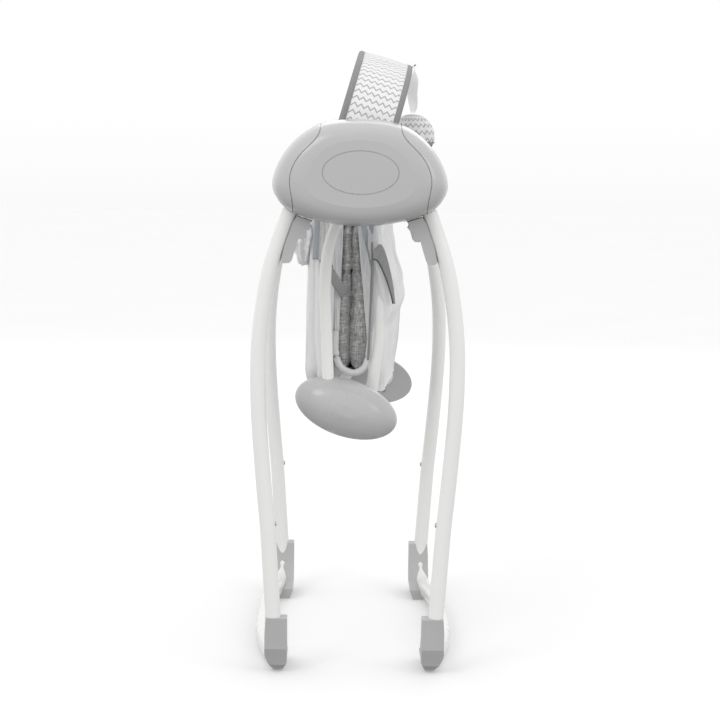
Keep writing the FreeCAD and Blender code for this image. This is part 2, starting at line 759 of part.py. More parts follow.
def hub_bowl(side, inset, start):
    """The hub's dished outer form: a short straight skirt that rounds over into a dome."""
    rim = size("hub_face_y") + size("hub_skirt")
    stations = [(start, 0.985), (rim - 4, 1.0)]
    for angle in (12, 27, 42, 57, 71, 83):
        turn = math.radians(angle)
        stations.append((rim - 4 + (size("hub_dome") + 4 - inset) * math.sin(turn), math.cos(turn)))
    wires = []
    for y, scale in stations:
        ellipse = Part.Ellipse(Vector(0, 0, 0), (size("hub_half_long") - inset) * scale,
                               (size("hub_half_high") - inset) * scale)
        wire = Part.Wire([ellipse.toShape()])
        wire.Placement = Placement(Vector(size("hub_x"), side * y, size("hub_z")),
                                   Rotation(Y_AXIS, size("hub_tilt")) * Rotation(X_AXIS, 90))
        wires.append(wire)
    return Part.makeLoft(wires, True, False)


def hub_cover(side):
    """The dished cover with its skirt, notched where the arm comes in."""
    face = size("hub_face_y") + size("hub_plate_thick")
    outer = hub_bowl(side, 0, face)
    cover = outer.cut(hub_bowl(side, size("hub_wall"), face - 1))
    for x, z in hub_screw_places():
        post = cylinder_y(4.5, side * face, side * (face + 30), x, z).common(outer)
        cover = cover.fuse(post)
        cover = cover.cut(cylinder_y(1.6, side * (face - 1), side * (face + 14), x, z))
    return hung(cover.cut(arm_bar(side, size("arm_wide") / 2 + 0.1)), side)


def hub_screw_places():
    """The two cover screws, low in the hub's inner plate."""
    return [(-6, 288), (24, 286)]


def hub_plate(side):
    """The hub's inner plate, with screw holes, a stop slot and a stiffening rib."""
    face = side * size("hub_face_y")
    thick = side * size("hub_plate_thick")
    plate = hub_oval(-0.6, face, thick)
    rib = box_between((30, min(face, face + 3 * thick), 301), (56, max(face, face + 3 * thick), 303))
    ring = cylinder_y(9, face + thick, face + 2.4 * thick, size("front_pivot_x"), size("seat_pivot_z"))
    plate = plate.fuse(rib.common(hub_oval(-3, face, 3 * thick))).fuse(ring)
    for x, z in hub_screw_places():
        plate = plate.cut(cylinder_y(3.4, face - thick, face + 2 * thick, x, z))
    slot_outer = cylinder_y(25, face - thick, face + 2 * thick, size("front_pivot_x"), size("seat_pivot_z"))
    slot_inner = cylinder_y(22, face - 2 * thick, face + 3 * thick, size("front_pivot_x"),
                            size("seat_pivot_z"))
    corner = box_between((34, min(face - thick, face + 2 * thick), 316),
                         (80, max(face - thick, face + 2 * thick), 360))
    arc = slot_outer.cut(slot_inner).common(corner).common(hub_oval(-5, face - thick, 4 * thick))
    plate = hung(plate.cut(arc), side)
    for pivot in ("back_pivot_x", "front_pivot_x"):
        plate = plate.cut(pin_room(side, pivot))
    return plate


def yaw_angle():
    """How far the folded seat is turned about Z by the two arms hanging out of line."""
    radius = size("swing_pivot_z") - size("hub_z")
    swing_out = radius * math.sin(math.radians(size("hang_skew")))
    return math.degrees(math.atan(swing_out / size("hub_face_y")))


def seat_turn():
    """The turn about the upright axis midway between the two hubs."""
    return Placement(Vector(), Rotation(Z_AXIS, -yaw_angle()), Vector(size("hub_x"), 0, 0))


def yawed(shape):
    """Turn a seat piece with the seat."""
    turned = shape.copy()
    turned.rotate(Vector(size("hub_x"), 0, 0), Z_AXIS, -yaw_angle())
    return turned


def pin_reach(side, pivot):
    """Where a seat pin starts, inside its lug, and ends, level with the hub plate's outer face."""
    tube_y = "back_tube_y" if pivot == "back_pivot_x" else "front_tube_y"
    turn = math.radians(yaw_angle())
    shift = side * (size(pivot) - size("hub_x")) * math.sin(turn)
    outer_face = size("hub_face_y") + size("hub_plate_thick")
    start = size(tube_y) - size("lug_thick") / 2 - 2
    return side * start, side * ((outer_face + shift) / math.cos(turn) + 0.4)


def seat_pin(side, pivot):
    """One pin that the seat turns on, square to the turned seat."""
    start, end = pin_reach(side, pivot)
    pin = bar_y("Sizes.pin_radius", start, end, size(pivot), size("seat_pivot_z"))
    pin.Placement = seat_turn().multiply(pin.Placement)
    return pin


def pin_room(side, pivot):
    """The hole in a hub plate for a seat pin."""
    start, end = pin_reach(side, pivot)
    return yawed(cylinder_y(size("pin_radius") + size("run_gap"), start, end + side * 8, size(pivot),
                            size("seat_pivot_z")))


def make_swing():
    shafts = []
    start = size("arm_y") - 8
    for side in SIDES.values():
        shafts.append(bar_y("Sizes.shaft_radius", side * start, side * (size("half_span") + 4), 0,
                            size("swing_pivot_z")))
    grouped("swing_shafts", shafts)
    for name, side in SIDES.items():
        feature(f"{name}_swing_arm", swing_arm(side))
        feature(f"{name}_hub_cover", hub_cover(side))
        feature(f"{name}_hub_plate", hub_plate(side))
    pins = [seat_pin(side, pivot) for side in SIDES.values() for pivot in ("back_pivot_x", "front_pivot_x")]
    grouped("seat_pins", pins)
    make_rocker()


def make_rocker():
    """Inside the left housing, an arm on the shaft carries the magnet that the coil pushes."""
    top, low = size("swing_pivot_z"), size("drive_z") - 6
    y = size("half_span") - 18
    far = y + size("rocker_thick")
    eye = bar_y("Sizes.rocker_radius", y, far, 0, top)
    arm = block(Vector(-size("rocker_wide") / 2, y, low), Length="Sizes.rocker_wide",
                Width="Sizes.rocker_thick", Height="Sizes.swing_pivot_z - Sizes.drive_z + 6")
    bore = bar_y("Sizes.shaft_radius", y - 1, far + 1, 0, top)
    keep(cut_away(joined(eye, arm), bore), "drive_rocker")
    spot = Vector(0, far, size("drive_z"))
    round_body("drive_magnet", ("Sizes.magnet_radius",), "Sizes.magnet_thick", spot)


# ---------------------------------------------------------------- seat

def seat_bar(end, radius):
    """A round bar along the U of one seat tube, from foot to foot."""
    pivot_x, tube_x = size(end + "_pivot_x"), size(end + "_tube_x")
    y, top = size(end + "_tube_y"), size(end + "_top_z")
    foot_z = size("seat_pivot_z") + 8
    knee_z = foot_z + 62
    points = [Vector(pivot_x, -y, foot_z), Vector(tube_x, -y, knee_z), Vector(tube_x, -y, top),
              Vector(tube_x, y, top), Vector(tube_x, y, knee_z), Vector(pivot_x, y, foot_z)]
    knee_bend, corner_bend = 200, 34
    path = rounded_path(points, (knee_bend, corner_bend, corner_bend, knee_bend))
    return sweep_round(path, points[0], (points[1] - points[0]).normalize(), radius)


def seat_tube(end):
    """A U-shaped tube with a flattened lug at each foot, standing on the seat's hinge line."""
    radius, y = size("seat_tube_radius"), size(end + "_tube_y")
    x, foot_z = size(end + "_pivot_x"), size("seat_pivot_z")
    half = size("lug_thick") / 2
    tube = seat_bar(end, radius).cut(seat_bar(end, radius - size("tube_wall")))
    for side in SIDES.values():
        tube = tube.fuse(cylinder_y(size("lug_radius"), side * y - half, side * y + half, x, foot_z))
    hole = size("pin_radius") + size("run_gap")
    for side in SIDES.values():
        tube = tube.cut(cylinder_y(hole, side * (y - 14), side * (y + 14), x, foot_z))
    return tube


def soft_block(low_x, thick, half_wide, low, high):
    """A soft panel's block, square to the seat, from expressions and its place."""
    panel = block(Vector(low_x, -half_wide, size(low)), Length=thick, Height=f"Sizes.{high} - Sizes.{low}")
    panel.Width = 2 * half_wide
    panel.Placement = seat_turn().multiply(panel.Placement)
    return panel


def rounded_upright(panel, radius):
    """The panel with its four upright edges rounded over."""
    doc.recompute()
    fillet = doc.addObject("Part::Fillet", "rounded")
    fillet.Base = panel
    upright = [i for i, e in enumerate(panel.Shape.Edges, 1) if abs(e.tangentAt(e.FirstParameter).z) > 0.9]
    fillet.Edges = [(index, radius, radius) for index in upright]
    return fillet


def make_seat():
    """Two tubes, each in a folded fabric sleeve, with the quilted pads folded face to face between them."""
    pad_half = size("pad_half_wide")
    low_x = {}
    for end, corner in (("back", 12), ("front", 8)):
        feature(f"seat_{end}_tube", yawed(seat_tube(end)))
        half_wide = size(end + "_tube_y") + size("seat_tube_radius") + 1.5
        low_x[end] = size(end + "_tube_x") - size(end + "_sling_thick") / 2
        sling = soft_block(low_x[end], f"Sizes.{end}_sling_thick", half_wide, f"{end}_sling_low",
                           f"{end}_sling_high")
        sleeve = tool_feature(yawed(seat_bar(end, size("seat_tube_radius") + 0.3)))
        keep(cut_away(rounded_upright(sling, corner), sleeve), f"seat_{end}_sling")
    pad_starts = {"back": low_x["back"] + size("back_sling_thick") + 1,
                  "front": low_x["front"] - 1 - size("pad_thick")}
    for end, start in pad_starts.items():
        cushion = soft_block(start, "Sizes.pad_thick", pad_half, f"{end}_pad_low", f"{end}_pad_high")
        keep(rounded_upright(cushion, size("pad_corner")), f"seat_{end}_pad")
    corner = Vector(low_x["back"] - 1 - size("buckle_thick"), -size("buckle_wide") / 2, size("buckle_low"))
    buckle = block(corner, Length="Sizes.buckle_thick", Width="Sizes.buckle_wide",
                   Height="Sizes.buckle_high")
    buckle.Placement = seat_turn().multiply(buckle.Placement)
    keep(buckle, "harness_buckle")


# ---------------------------------------------------------------- toy bar

def arch_height(y, span, rise):
    """The arch's height over its hinge line: a superellipse, steep at the sides and flat on top."""
    power = size("toy_bar_square")
    return rise * (1 - min(abs(y) / span, 1) ** power) ** (1 / power)


def arch_face(span, rise, x):
    """The upright area under the arch, down to a little below its hinge line."""
    z = size("toy_bar_z")
    power = size("toy_bar_square")
    steps = 36
    points = []
    for i in range(steps + 1):
        turn = -math.pi / 2 + math.pi * i / steps
        y = math.copysign(span * abs(math.sin(turn)) ** (2 / power), turn)
        points.append(Vector(x, y, z + arch_height(y, span, rise)))
    curve = smooth_path(points, Z_AXIS, -Z_AXIS)
    low = [Vector(x, span, z - 2), Vector(x, -span, z - 2)]
    ends = [Part.LineSegment(points[-1], low[0]), Part.LineSegment(low[0], low[1]),
            Part.LineSegment(low[1], points[0])]
    return Part.Face(Part.Wire([curve.toShape()] + [line.toShape() for line in ends]))


def bar_arch(rise, span, wide, thick):
    """An arched strip over the seat, thick measured inward from its top."""
    start = size("toy_bar_x") - wide / 2
    outer = arch_face(span, rise, start)
    inner = arch_face(span - thick, rise - thick, start)
    return outer.extrude(Vector(wide, 0, 0)).cut(inner.extrude(Vector(wide, 0, 0)))


def leaned(shape):
    """Lean a piece of the toy bar forward about its own hinge line."""
    turned = shape.copy()
    turned.rotate(Vector(size("toy_bar_x"), 0, size("toy_bar_z")), Y_AXIS, size("toy_bar_lean"))
    return turned


def toy_hang_point(side):
    """Where a toy's ribbon is sewn to the bar's front edge."""
    y = side * size("toy_y")
    arch = arch_height(y, size("toy_bar_span"), size("toy_bar_rise"))
    lean = math.radians(size("toy_bar_lean"))
    half = size("toy_bar_wide") / 2 + 2.5
    x = size("toy_bar_x") + arch * math.sin(lean) + half * math.cos(lean)
    z = size("toy_bar_z") + arch * math.cos(lean) - half * math.sin(lean)
    return Vector(x, y, z)


def make_toy_bar():
    wide = size("toy_bar_wide")
    span, rise = size("toy_bar_span"), size("toy_bar_rise")
    cover = size("toy_cover_thick")
    core = bar_arch(rise - cover, span - cover, wide - 8, size("toy_core_thick"))
    ends = []
    for side in SIDES.values():
        tab = box_between((size("toy_bar_x") - 9, min(side * 166, side * 173), size("toy_bar_z") - 6),
                          (size("toy_bar_x") + 9, max(side * 166, side * 173), size("toy_bar_z") + 12))
        plug = cylinder_y(4, side * 170, side * 196, size("toy_bar_x"), size("toy_bar_z"))
        ends.append(leaned(tab.fuse(plug)))
    fabric = bar_arch(rise, span, wide, cover * 2 + size("toy_core_thick"))
    room = bar_arch(rise - cover + 0.1, span - cover + 0.1, wide - 7.6, size("toy_core_thick") + 0.2)
    lower = box_between((-200, -300, 500), (300, 300, size("toy_bar_z") + 14))
    feature("toy_bar_core", leaned(core.cut(lower)))
    feature("toy_bar_cover", leaned(fabric.cut(room).cut(lower)))
    feature("toy_bar_hinge_plugs", Part.makeCompound(ends))
    for name, side in SIDES.items():
        make_toy(name, toy_hang_point(side))


def make_toy(name, hang):
    """A plush toy on a ribbon whose top end is rolled over the thread that it swings on."""
    half = size("ribbon_wide") / 2
    low = Vector(hang.x - size("ribbon_thick") / 2, hang.y - half, size("ribbon_low_z"))
    tape = block(low, Length="Sizes.ribbon_thick", Width="Sizes.ribbon_wide")
    tape.Height = hang.z - size("ribbon_low_z")
    roll = bar_y("Sizes.ribbon_roll", hang.y - half, hang.y + half, hang.x, hang.z)
    keep(joined(tape, roll), f"{name}_toy_ribbon")
    plush = doc.addObject("Part::Ellipsoid", "plush")
    bind(plush, Radius1="Sizes.toy_half_high", Radius2="Sizes.toy_half_deep", Radius3="Sizes.toy_half_wide")
    place(plush, Vector(hang.x, hang.y, size("toy_z")))
    keep(plush, f"{name}_toy")


def check_and_write():
    """Stop on anything that failed, then write one file for each sub-part."""
    doc.recompute()
    for obj in doc.Objects:
        if "Invalid" in obj.State or "Error" in obj.State:
            raise RuntimeError(f"{obj.Name} did not compute")
    os.makedirs("parts", exist_ok=True)
    for node, obj in subparts.items():
        if obj.Shape.isNull() or not obj.Shape.isValid():
            raise RuntimeError(f"{node} has no sound shape")
        obj.Shape.exportStep(f"parts/{node}.step")
        box = obj.Shape.BoundBox
        print(f"{node}: {obj.Shape.Volume:.0f} mm3, {len(obj.Shape.Solids)} solids, "
              f"x {box.XMin:.1f}..{box.XMax:.1f} y {box.YMin:.1f}..{box.YMax:.1f} "
              f"z {box.ZMin:.1f}..{box.ZMax:.1f}")
    print(len(subparts), "sub-parts, seat turned", round(yaw_angle(), 3), "degrees")


make_housings()
make_leg_frames()
make_swing()
make_seat()
make_toy_bar()
check_and_write()
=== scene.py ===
import json
import math

import bmesh
import bpy
from mathutils import Matrix, Vector, noise


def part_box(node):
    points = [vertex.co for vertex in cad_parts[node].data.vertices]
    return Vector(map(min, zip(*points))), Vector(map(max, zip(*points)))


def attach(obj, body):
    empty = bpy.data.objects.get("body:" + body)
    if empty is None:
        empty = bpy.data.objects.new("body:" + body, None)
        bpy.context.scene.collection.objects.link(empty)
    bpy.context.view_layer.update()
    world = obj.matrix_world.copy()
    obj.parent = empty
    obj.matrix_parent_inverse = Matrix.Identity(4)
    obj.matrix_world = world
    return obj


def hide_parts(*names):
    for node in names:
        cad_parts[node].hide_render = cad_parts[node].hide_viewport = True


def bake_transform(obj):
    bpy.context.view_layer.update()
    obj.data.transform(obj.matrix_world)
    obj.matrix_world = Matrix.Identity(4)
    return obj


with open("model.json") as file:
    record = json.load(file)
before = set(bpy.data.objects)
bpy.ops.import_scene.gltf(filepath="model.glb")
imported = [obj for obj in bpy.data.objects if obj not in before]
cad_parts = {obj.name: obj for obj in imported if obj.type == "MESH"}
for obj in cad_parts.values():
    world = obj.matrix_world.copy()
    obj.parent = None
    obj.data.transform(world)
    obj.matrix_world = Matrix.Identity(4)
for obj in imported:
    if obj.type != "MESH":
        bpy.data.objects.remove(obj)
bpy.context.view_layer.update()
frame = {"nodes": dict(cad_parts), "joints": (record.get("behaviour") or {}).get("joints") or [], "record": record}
NODES = frame["nodes"]

# The part's sides and ends, by name, with the sign of each on its axis.
SIDES = {"right": -1, "left": 1}
ENDS = {"front": 1, "rear": -1}


# ---------------------------------------------------------------- material building blocks

class Graph:
    """A small helper that adds shader nodes and links them in one call each."""

    def __init__(self, name):
        self.material = bpy.data.materials.new(name)
        self.material.use_nodes = True
        self.tree = self.material.node_tree
        self.shader = self.tree.nodes["Principled BSDF"]

    def node(self, kind, inputs=None, **settings):
        made = self.tree.nodes.new(kind)
        for key, value in settings.items():
            setattr(made, key, value)
        for key, value in (inputs or {}).items():
            self.put(made.inputs[key], value)
        return made

    def put(self, socket, value):
        """Link a node's output, or set a plain value."""
        if isinstance(value, bpy.types.NodeSocket):
            self.tree.links.new(value, socket)
        elif isinstance(value, bpy.types.Node):
            self.tree.links.new(value.outputs[0], socket)
        elif isinstance(value, (tuple, list)) and len(value) == 3 and socket.type == "RGBA":
            socket.default_value = (*value, 1.0)
        else:
            socket.default_value = value

    def set(self, **values):
        """Shader sockets by name, with underscores for spaces."""
        for key, value in values.items():
            self.put(self.shader.inputs[key.replace("_", " ")], value)
        return self

    def coords(self, kind="Object"):
        return self.node("ShaderNodeTexCoord").outputs[kind]

    def math(self, operation, a, b):
        made = self.node("ShaderNodeMath", operation=operation)
        for socket, value in zip(made.inputs, (a, b)):
            self.put(socket, value)
        return made.outputs[0]

    def mapped(self, scale):
        made = self.node("ShaderNodeMapping", {"Vector": self.coords()})
        made.inputs["Scale"].default_value = scale
        return made.outputs[0]

    def noise(self, scale, detail=2.0, vector=None):
        made = self.node("ShaderNodeTexNoise", {"Scale": scale, "Detail": detail})
        self.put(made.inputs["Vector"], vector or self.coords())
        return made.outputs[0]

    def ramp(self, factor, stops):
        """Colours at positions, blended smoothly."""
        made = self.node("ShaderNodeValToRGB", {"Fac": factor})
        ramp = made.color_ramp
        while len(ramp.elements) < len(stops):
            ramp.elements.new(0.5)
        for element, (position, colour) in zip(ramp.elements, stops):
            element.position = position
            element.color = (*colour, 1.0)
        return made.outputs[0]

    def mix(self, factor, first, second):
        made = self.node("ShaderNodeMix", data_type="RGBA")
        self.put(made.inputs[0], factor)
        self.put(made.inputs[6], first)
        self.put(made.inputs[7], second)
        return made.outputs[2]

    def span(self, value, low, high):
        """A 0-to-1 texture value stretched to run from low to high."""
        made = self.node("ShaderNodeMapRange", {"Value": value, "To Min": low, "To Max": high})
        return made.outputs[0]

    def bump(self, height, strength, distance, after=None):
        made = self.node("ShaderNodeBump", {"Height": height, "Strength": strength, "Distance": distance})
        if after is not None:
            self.put(made.inputs["Normal"], after)
        return made.outputs[0]


# ---------------------------------------------------------------- materials

def gloss_plastic(name, base, rough=0.24):
    """Glossy moulded plastic: a faint flow mottle, orange peel and dusty wear in the gloss."""
    g = Graph(name)
    broad = g.noise(9.0, 3.0)
    darker, paler = tuple(c * 0.965 for c in base), tuple(min(c * 1.03, 1) for c in base)
    colour = g.ramp(broad, [(0.3, darker), (0.7, paler)])
    fine = g.noise(220.0, 3.0)
    rough_value = g.span(g.noise(26.0, 5.0), rough - 0.05, rough + 0.09)
    peel = g.bump(g.noise(130.0, 1.0), 0.10, 0.0005)
    skin = g.bump(fine, 0.05, 0.0001, peel)
    g.set(Base_Color=colour, Roughness=rough_value, Normal=skin)
    g.set(Specular_IOR_Level=0.5, Coat_Weight=0.35, Coat_Roughness=0.12)
    return g.material


def satin_plastic(name, base, rough=0.42):
    """Moulded plastic with a fine spark-eroded grain."""
    g = Graph(name)
    broad = g.noise(14.0, 4.0)
    darker, paler = tuple(c * 0.95 for c in base), tuple(min(c * 1.04, 1) for c in base)
    colour = g.ramp(broad, [(0.3, darker), (0.7, paler)])
    grain = g.noise(1500.0, 2.0)
    rough_value = g.span(g.noise(60.0, 5.0), rough - 0.06, rough + 0.10)
    g.set(Base_Color=colour, Roughness=rough_value, Normal=g.bump(grain, 0.25, 0.00012))
    return g.material


def painted_tube(name, base):
    """White powder coat: a soft orange peel under gloss, with faint scuffs."""
    g = Graph(name)
    broad = g.noise(7.0, 3.0)
    colour = g.ramp(broad, [(0.3, tuple(c * 0.975 for c in base)), (0.75, base)])
    peel = g.bump(g.noise(420.0, 2.0), 0.16, 0.0002)
    scuffs = g.noise(1.0, 6.0, g.mapped((60.0, 60.0, 9.0)))
    g.set(Base_Color=colour, Roughness=g.span(scuffs, 0.20, 0.38), Normal=peel)
    g.set(Coat_Weight=0.4, Coat_Roughness=0.15)
    return g.material


def bright_metal(name, base, rough=0.28):
    """Zinc-plated steel, faintly streaked."""
    g = Graph(name)
    streaks = g.noise(1.0, 5.0, g.mapped((900.0, 900.0, 60.0)))
    colour = g.ramp(streaks, [(0.25, tuple(c * 0.85 for c in base)), (0.75, base)])
    g.set(Base_Color=colour, Metallic=1.0, Roughness=g.span(streaks, rough - 0.08, rough + 0.12))
    g.set(Normal=g.bump(streaks, 0.08, 0.0001))
    return g.material


def weave(g, vector, pitch, strength, distance):
    """A plain weave: threads over and under each other, as a bump height."""
    across = g.node("ShaderNodeTexWave", {"Scale": 0.5 / pitch, "Vector": vector}, bands_direction="X")
    along = g.node("ShaderNodeTexWave", {"Scale": 0.5 / pitch, "Vector": vector}, bands_direction="Y")
    height = g.math("MULTIPLY", across.outputs["Fac"], along.outputs["Fac"])
    return g.bump(height, strength, distance)


def cloth_vector(g):
    """The cloth's own flat coordinates, in metres."""
    return g.coords("UV")


def satin_fabric(name, base):
    """Satin lining: a fine upright thread, a soft sheen and slight unevenness."""
    g = Graph(name)
    threads = g.noise(1.0, 3.0, g.mapped((1600.0, 1600.0, 90.0)))
    slub = g.noise(1.0, 4.0, g.mapped((90.0, 90.0, 12.0)))
    colour = g.ramp(slub, [(0.3, tuple(c * 0.93 for c in base)), (0.72, base)])
    soft = g.bump(g.noise(70.0, 4.0), 0.30, 0.0015)
    g.set(Base_Color=colour, Roughness=g.span(slub, 0.42, 0.60), Normal=g.bump(threads, 0.25, 0.00015, soft))
    g.set(Sheen_Weight=0.35, Sheen_Roughness=0.4)
    return g.material


def heather_fabric(name, dark, light):
    """Heather knit: dark and pale yarns crossing at random, like fine crosshatching."""
    g = Graph(name)
    warp = g.noise(1.0, 4.0, g.mapped((620.0, 620.0, 90.0)))
    weft = g.noise(1.0, 4.0, g.mapped((90.0, 90.0, 620.0)))
    crossed = g.math("MULTIPLY", g.math("ADD", warp, weft), 0.5)
    between = tuple((a + b) / 2 for a, b in zip(dark, light))
    colour = g.ramp(crossed, [(0.38, dark), (0.5, between), (0.62, light)])
    yarns = g.bump(crossed, 0.7, 0.0006, g.bump(g.noise(120.0, 3.0), 0.25, 0.001))
    g.set(Base_Color=colour, Roughness=g.span(crossed, 0.82, 0.96), Normal=yarns)
    g.set(Sheen_Weight=0.25, Sheen_Roughness=0.6)
    return g.material


def chevron_fabric(name, white, line, row=0.0090, zigzag=0.0079, tall=0.0044, thick=0.0023):
    """White cotton printed with rows of grey zigzag."""
    g = Graph(name)
    flat = cloth_vector(g)
    parts = g.node("ShaderNodeSeparateXYZ", {"Vector": flat})
    swing = g.math("PINGPONG", parts.outputs["X"], zigzag / 2)
    lifted = g.math("ADD", parts.outputs["Y"], g.math("MULTIPLY", swing, 2 * tall / zigzag))
    away = g.math("PINGPONG", lifted, row / 2)
    inked = g.node("ShaderNodeMapRange", {"Value": away, "From Min": thick * 0.36, "From Max": thick * 0.62,
                                          "To Min": 1.0, "To Max": 0.0}).outputs[0]
    worn = g.math("MULTIPLY", inked, g.span(g.noise(900.0, 2.0), 0.72, 1.0))
    g.set(Base_Color=g.mix(worn, white, line), Roughness=0.85, Normal=weave(g, flat, 0.0008, 0.45, 0.00018))
    g.set(Sheen_Weight=0.2, Sheen_Roughness=0.5)
    return g.material


def webbing(name, dark, light):
    """Ribbed tape, woven with a twill line."""
    g = Graph(name)
    flat = cloth_vector(g)
    ribs = g.node("ShaderNodeTexWave", {"Scale": 480.0, "Vector": flat, "Distortion": 0.6},
                  bands_direction="DIAGONAL").outputs["Fac"]
    colour = g.ramp(ribs, [(0.2, dark), (0.8, light)])
    g.set(Base_Color=colour, Roughness=0.8, Normal=g.bump(ribs, 0.5, 0.0003))
    g.set(Sheen_Weight=0.15)
    return g.material


MATERIALS = {
    "grey_gloss_plastic": gloss_plastic("grey_gloss_plastic", (0.51, 0.515, 0.51)),
    "white_painted_tube": painted_tube("white_painted_tube", (0.88, 0.88, 0.865)),
    "grey_boot_plastic": satin_plastic("grey_boot_plastic", (0.46, 0.465, 0.46)),
    "grey_matte_plastic": satin_plastic("grey_matte_plastic", (0.49, 0.495, 0.49)),
    "white_moulded_plastic": satin_plastic("white_moulded_plastic", (0.82, 0.82, 0.80)),
    "button_plastic": satin_plastic("button_plastic", (0.72, 0.73, 0.73), 0.5),
    "bright_steel": bright_metal("bright_steel", (0.62, 0.62, 0.64)),
    "battery_can": satin_plastic("battery_can", (0.10, 0.11, 0.13)),
    "circuit_board": satin_plastic("circuit_board", (0.03, 0.20, 0.08)),
    "copper_wire": bright_metal("copper_wire", (0.72, 0.36, 0.18)),
    "white_fabric": satin_fabric("white_fabric", (0.86, 0.86, 0.87)),
    "heather_fabric": heather_fabric("heather_fabric", (0.30, 0.30, 0.295), (0.80, 0.79, 0.78)),
    "chevron_fabric": chevron_fabric("chevron_fabric", (0.86, 0.86, 0.86), (0.36, 0.36, 0.36)),
}
EXTRA = {
    # This dark heather is painted shade on the toy bar's underside; the toys' lower halves use the same dark grey.
    "dark_heather_and_painted_shade": heather_fabric("dark_heather_and_painted_shade", (0.07, 0.072, 0.075), (0.20, 0.205, 0.21)),
    # Grey binding tape: its real grey, darkened further as painted shade to the tone of the side facing away from
    # the light.
    "grey_binding_with_painted_shade": webbing("grey_binding_with_painted_shade", (0.20, 0.20, 0.205), (0.34, 0.34, 0.345)),
    # Dark webbing; on the waist straps' ends its dark is painted shadow.
    "dark_webbing_and_painted_shadow": webbing("dark_webbing_and_painted_shadow", (0.06, 0.06, 0.06), (0.14, 0.14, 0.14)),
    "strap_webbing": webbing("strap_webbing", (0.27, 0.27, 0.27), (0.46, 0.46, 0.46)),
    "blue_grey_fabric": satin_fabric("blue_grey_fabric", (0.44, 0.48, 0.52)),
}


def dress_cad_nodes():
    slots = {part["node"]: part["material_slot"] for part in frame["record"]["subparts"]}
    for name, obj in NODES.items():
        obj.data.materials.clear()
        obj.data.materials.append(MATERIALS[slots[name]])


# ---------------------------------------------------------------- room

def make_room():
    """A plain pale floor, a pale surround and soft studio light."""
    mesh = bpy.data.meshes.new("floor")
    half = 12.0
    corners = [(-half, -half, 0), (half, -half, 0), (half, half, 0), (-half, half, 0)]
    mesh.from_pydata(corners, [], [(0, 1, 2, 3)])
    floor = bpy.data.objects.new("floor", mesh)
    bpy.context.scene.collection.objects.link(floor)
    g = Graph("pale_floor")
    mottle = g.noise(3.0, 2.0)
    g.set(Base_Color=g.ramp(mottle, [(0.3, (0.955,) * 3), (0.7, (0.965,) * 3)]), Roughness=0.9)
    g.set(Specular_IOR_Level=0.1)
    floor.data.materials.append(g.material)
    floor.visible_diffuse = False
    floor.visible_glossy = False
    make_world()
    add_light("key", (-1.6, -2.2, 2.4), (0, 0, 0.5), 1.4, 13)
    add_light("right", (2.2, -1.6, 1.5), (0, 0, 0.45), 1.2, 5)
    add_light("back", (0.4, 2.8, 1.9), (0, 0, 0.5), 2.0, 7)


def make_world():
    """An even white surround, brighter overhead and dimmer from below."""
    world = bpy.data.worlds.new("studio")
    world.use_nodes = True
    tree = world.node_tree
    place = tree.nodes.new("ShaderNodeTexCoord")
    split = tree.nodes.new("ShaderNodeSeparateXYZ")
    ramp = tree.nodes.new("ShaderNodeMapRange")
    ramp.inputs["From Min"].default_value = -0.6
    ramp.inputs["From Max"].default_value = 0.0
    ramp.inputs["To Min"].default_value = 0.36
    ramp.inputs["To Max"].default_value = 1.0
    tree.links.new(place.outputs["Generated"], split.inputs[0])
    tree.links.new(split.outputs["Z"], ramp.inputs["Value"])
    tree.links.new(ramp.outputs[0], tree.nodes["Background"].inputs[1])
    tree.nodes["Background"].inputs[0].default_value = (1.0, 1.0, 1.0, 1.0)
    bpy.context.scene.world = world


def add_light(name, place, target, wide, power):
    light = bpy.data.lights.new(name, "AREA")
    light.shape = "DISK"
    light.size = wide
    light.energy = power
    obj = bpy.data.objects.new(name, light)
    obj.location = place
    obj.rotation_euler = (Vector(target) - Vector(place)).to_track_quat("-Z", "Y").to_euler()
    bpy.context.scene.collection.objects.link(obj)


LENS = 109.5
CAMERA_PLACE = (-0.030, -2.745, 0.652)
CAMERA_TURN, CAMERA_DOWN, CAMERA_ROLL = -0.74, 6.4, 0.75


def make_camera():
    """The photograph's view: square to the swing's side, level with the housings, a long lens."""
    camera = bpy.data.cameras.new("camera")
    camera.lens = LENS
    camera.sensor_width = 36.0
    camera.clip_end = 50.0
    obj = bpy.data.objects.new("camera", camera)
    turn = Matrix.Rotation(math.radians(CAMERA_TURN), 4, "Z")
    tip = Matrix.Rotation(math.radians(90 - CAMERA_DOWN), 4, "X")
    roll = Matrix.Rotation(math.radians(CAMERA_ROLL), 4, "Z")
    obj.matrix_world = Matrix.Translation(CAMERA_PLACE) @ turn @ tip @ roll
    bpy.context.scene.collection.objects.link(obj)
    bpy.context.scene.camera = obj


# ---------------------------------------------------------------- mesh helpers

def unit(vector):
    return vector.normalized()


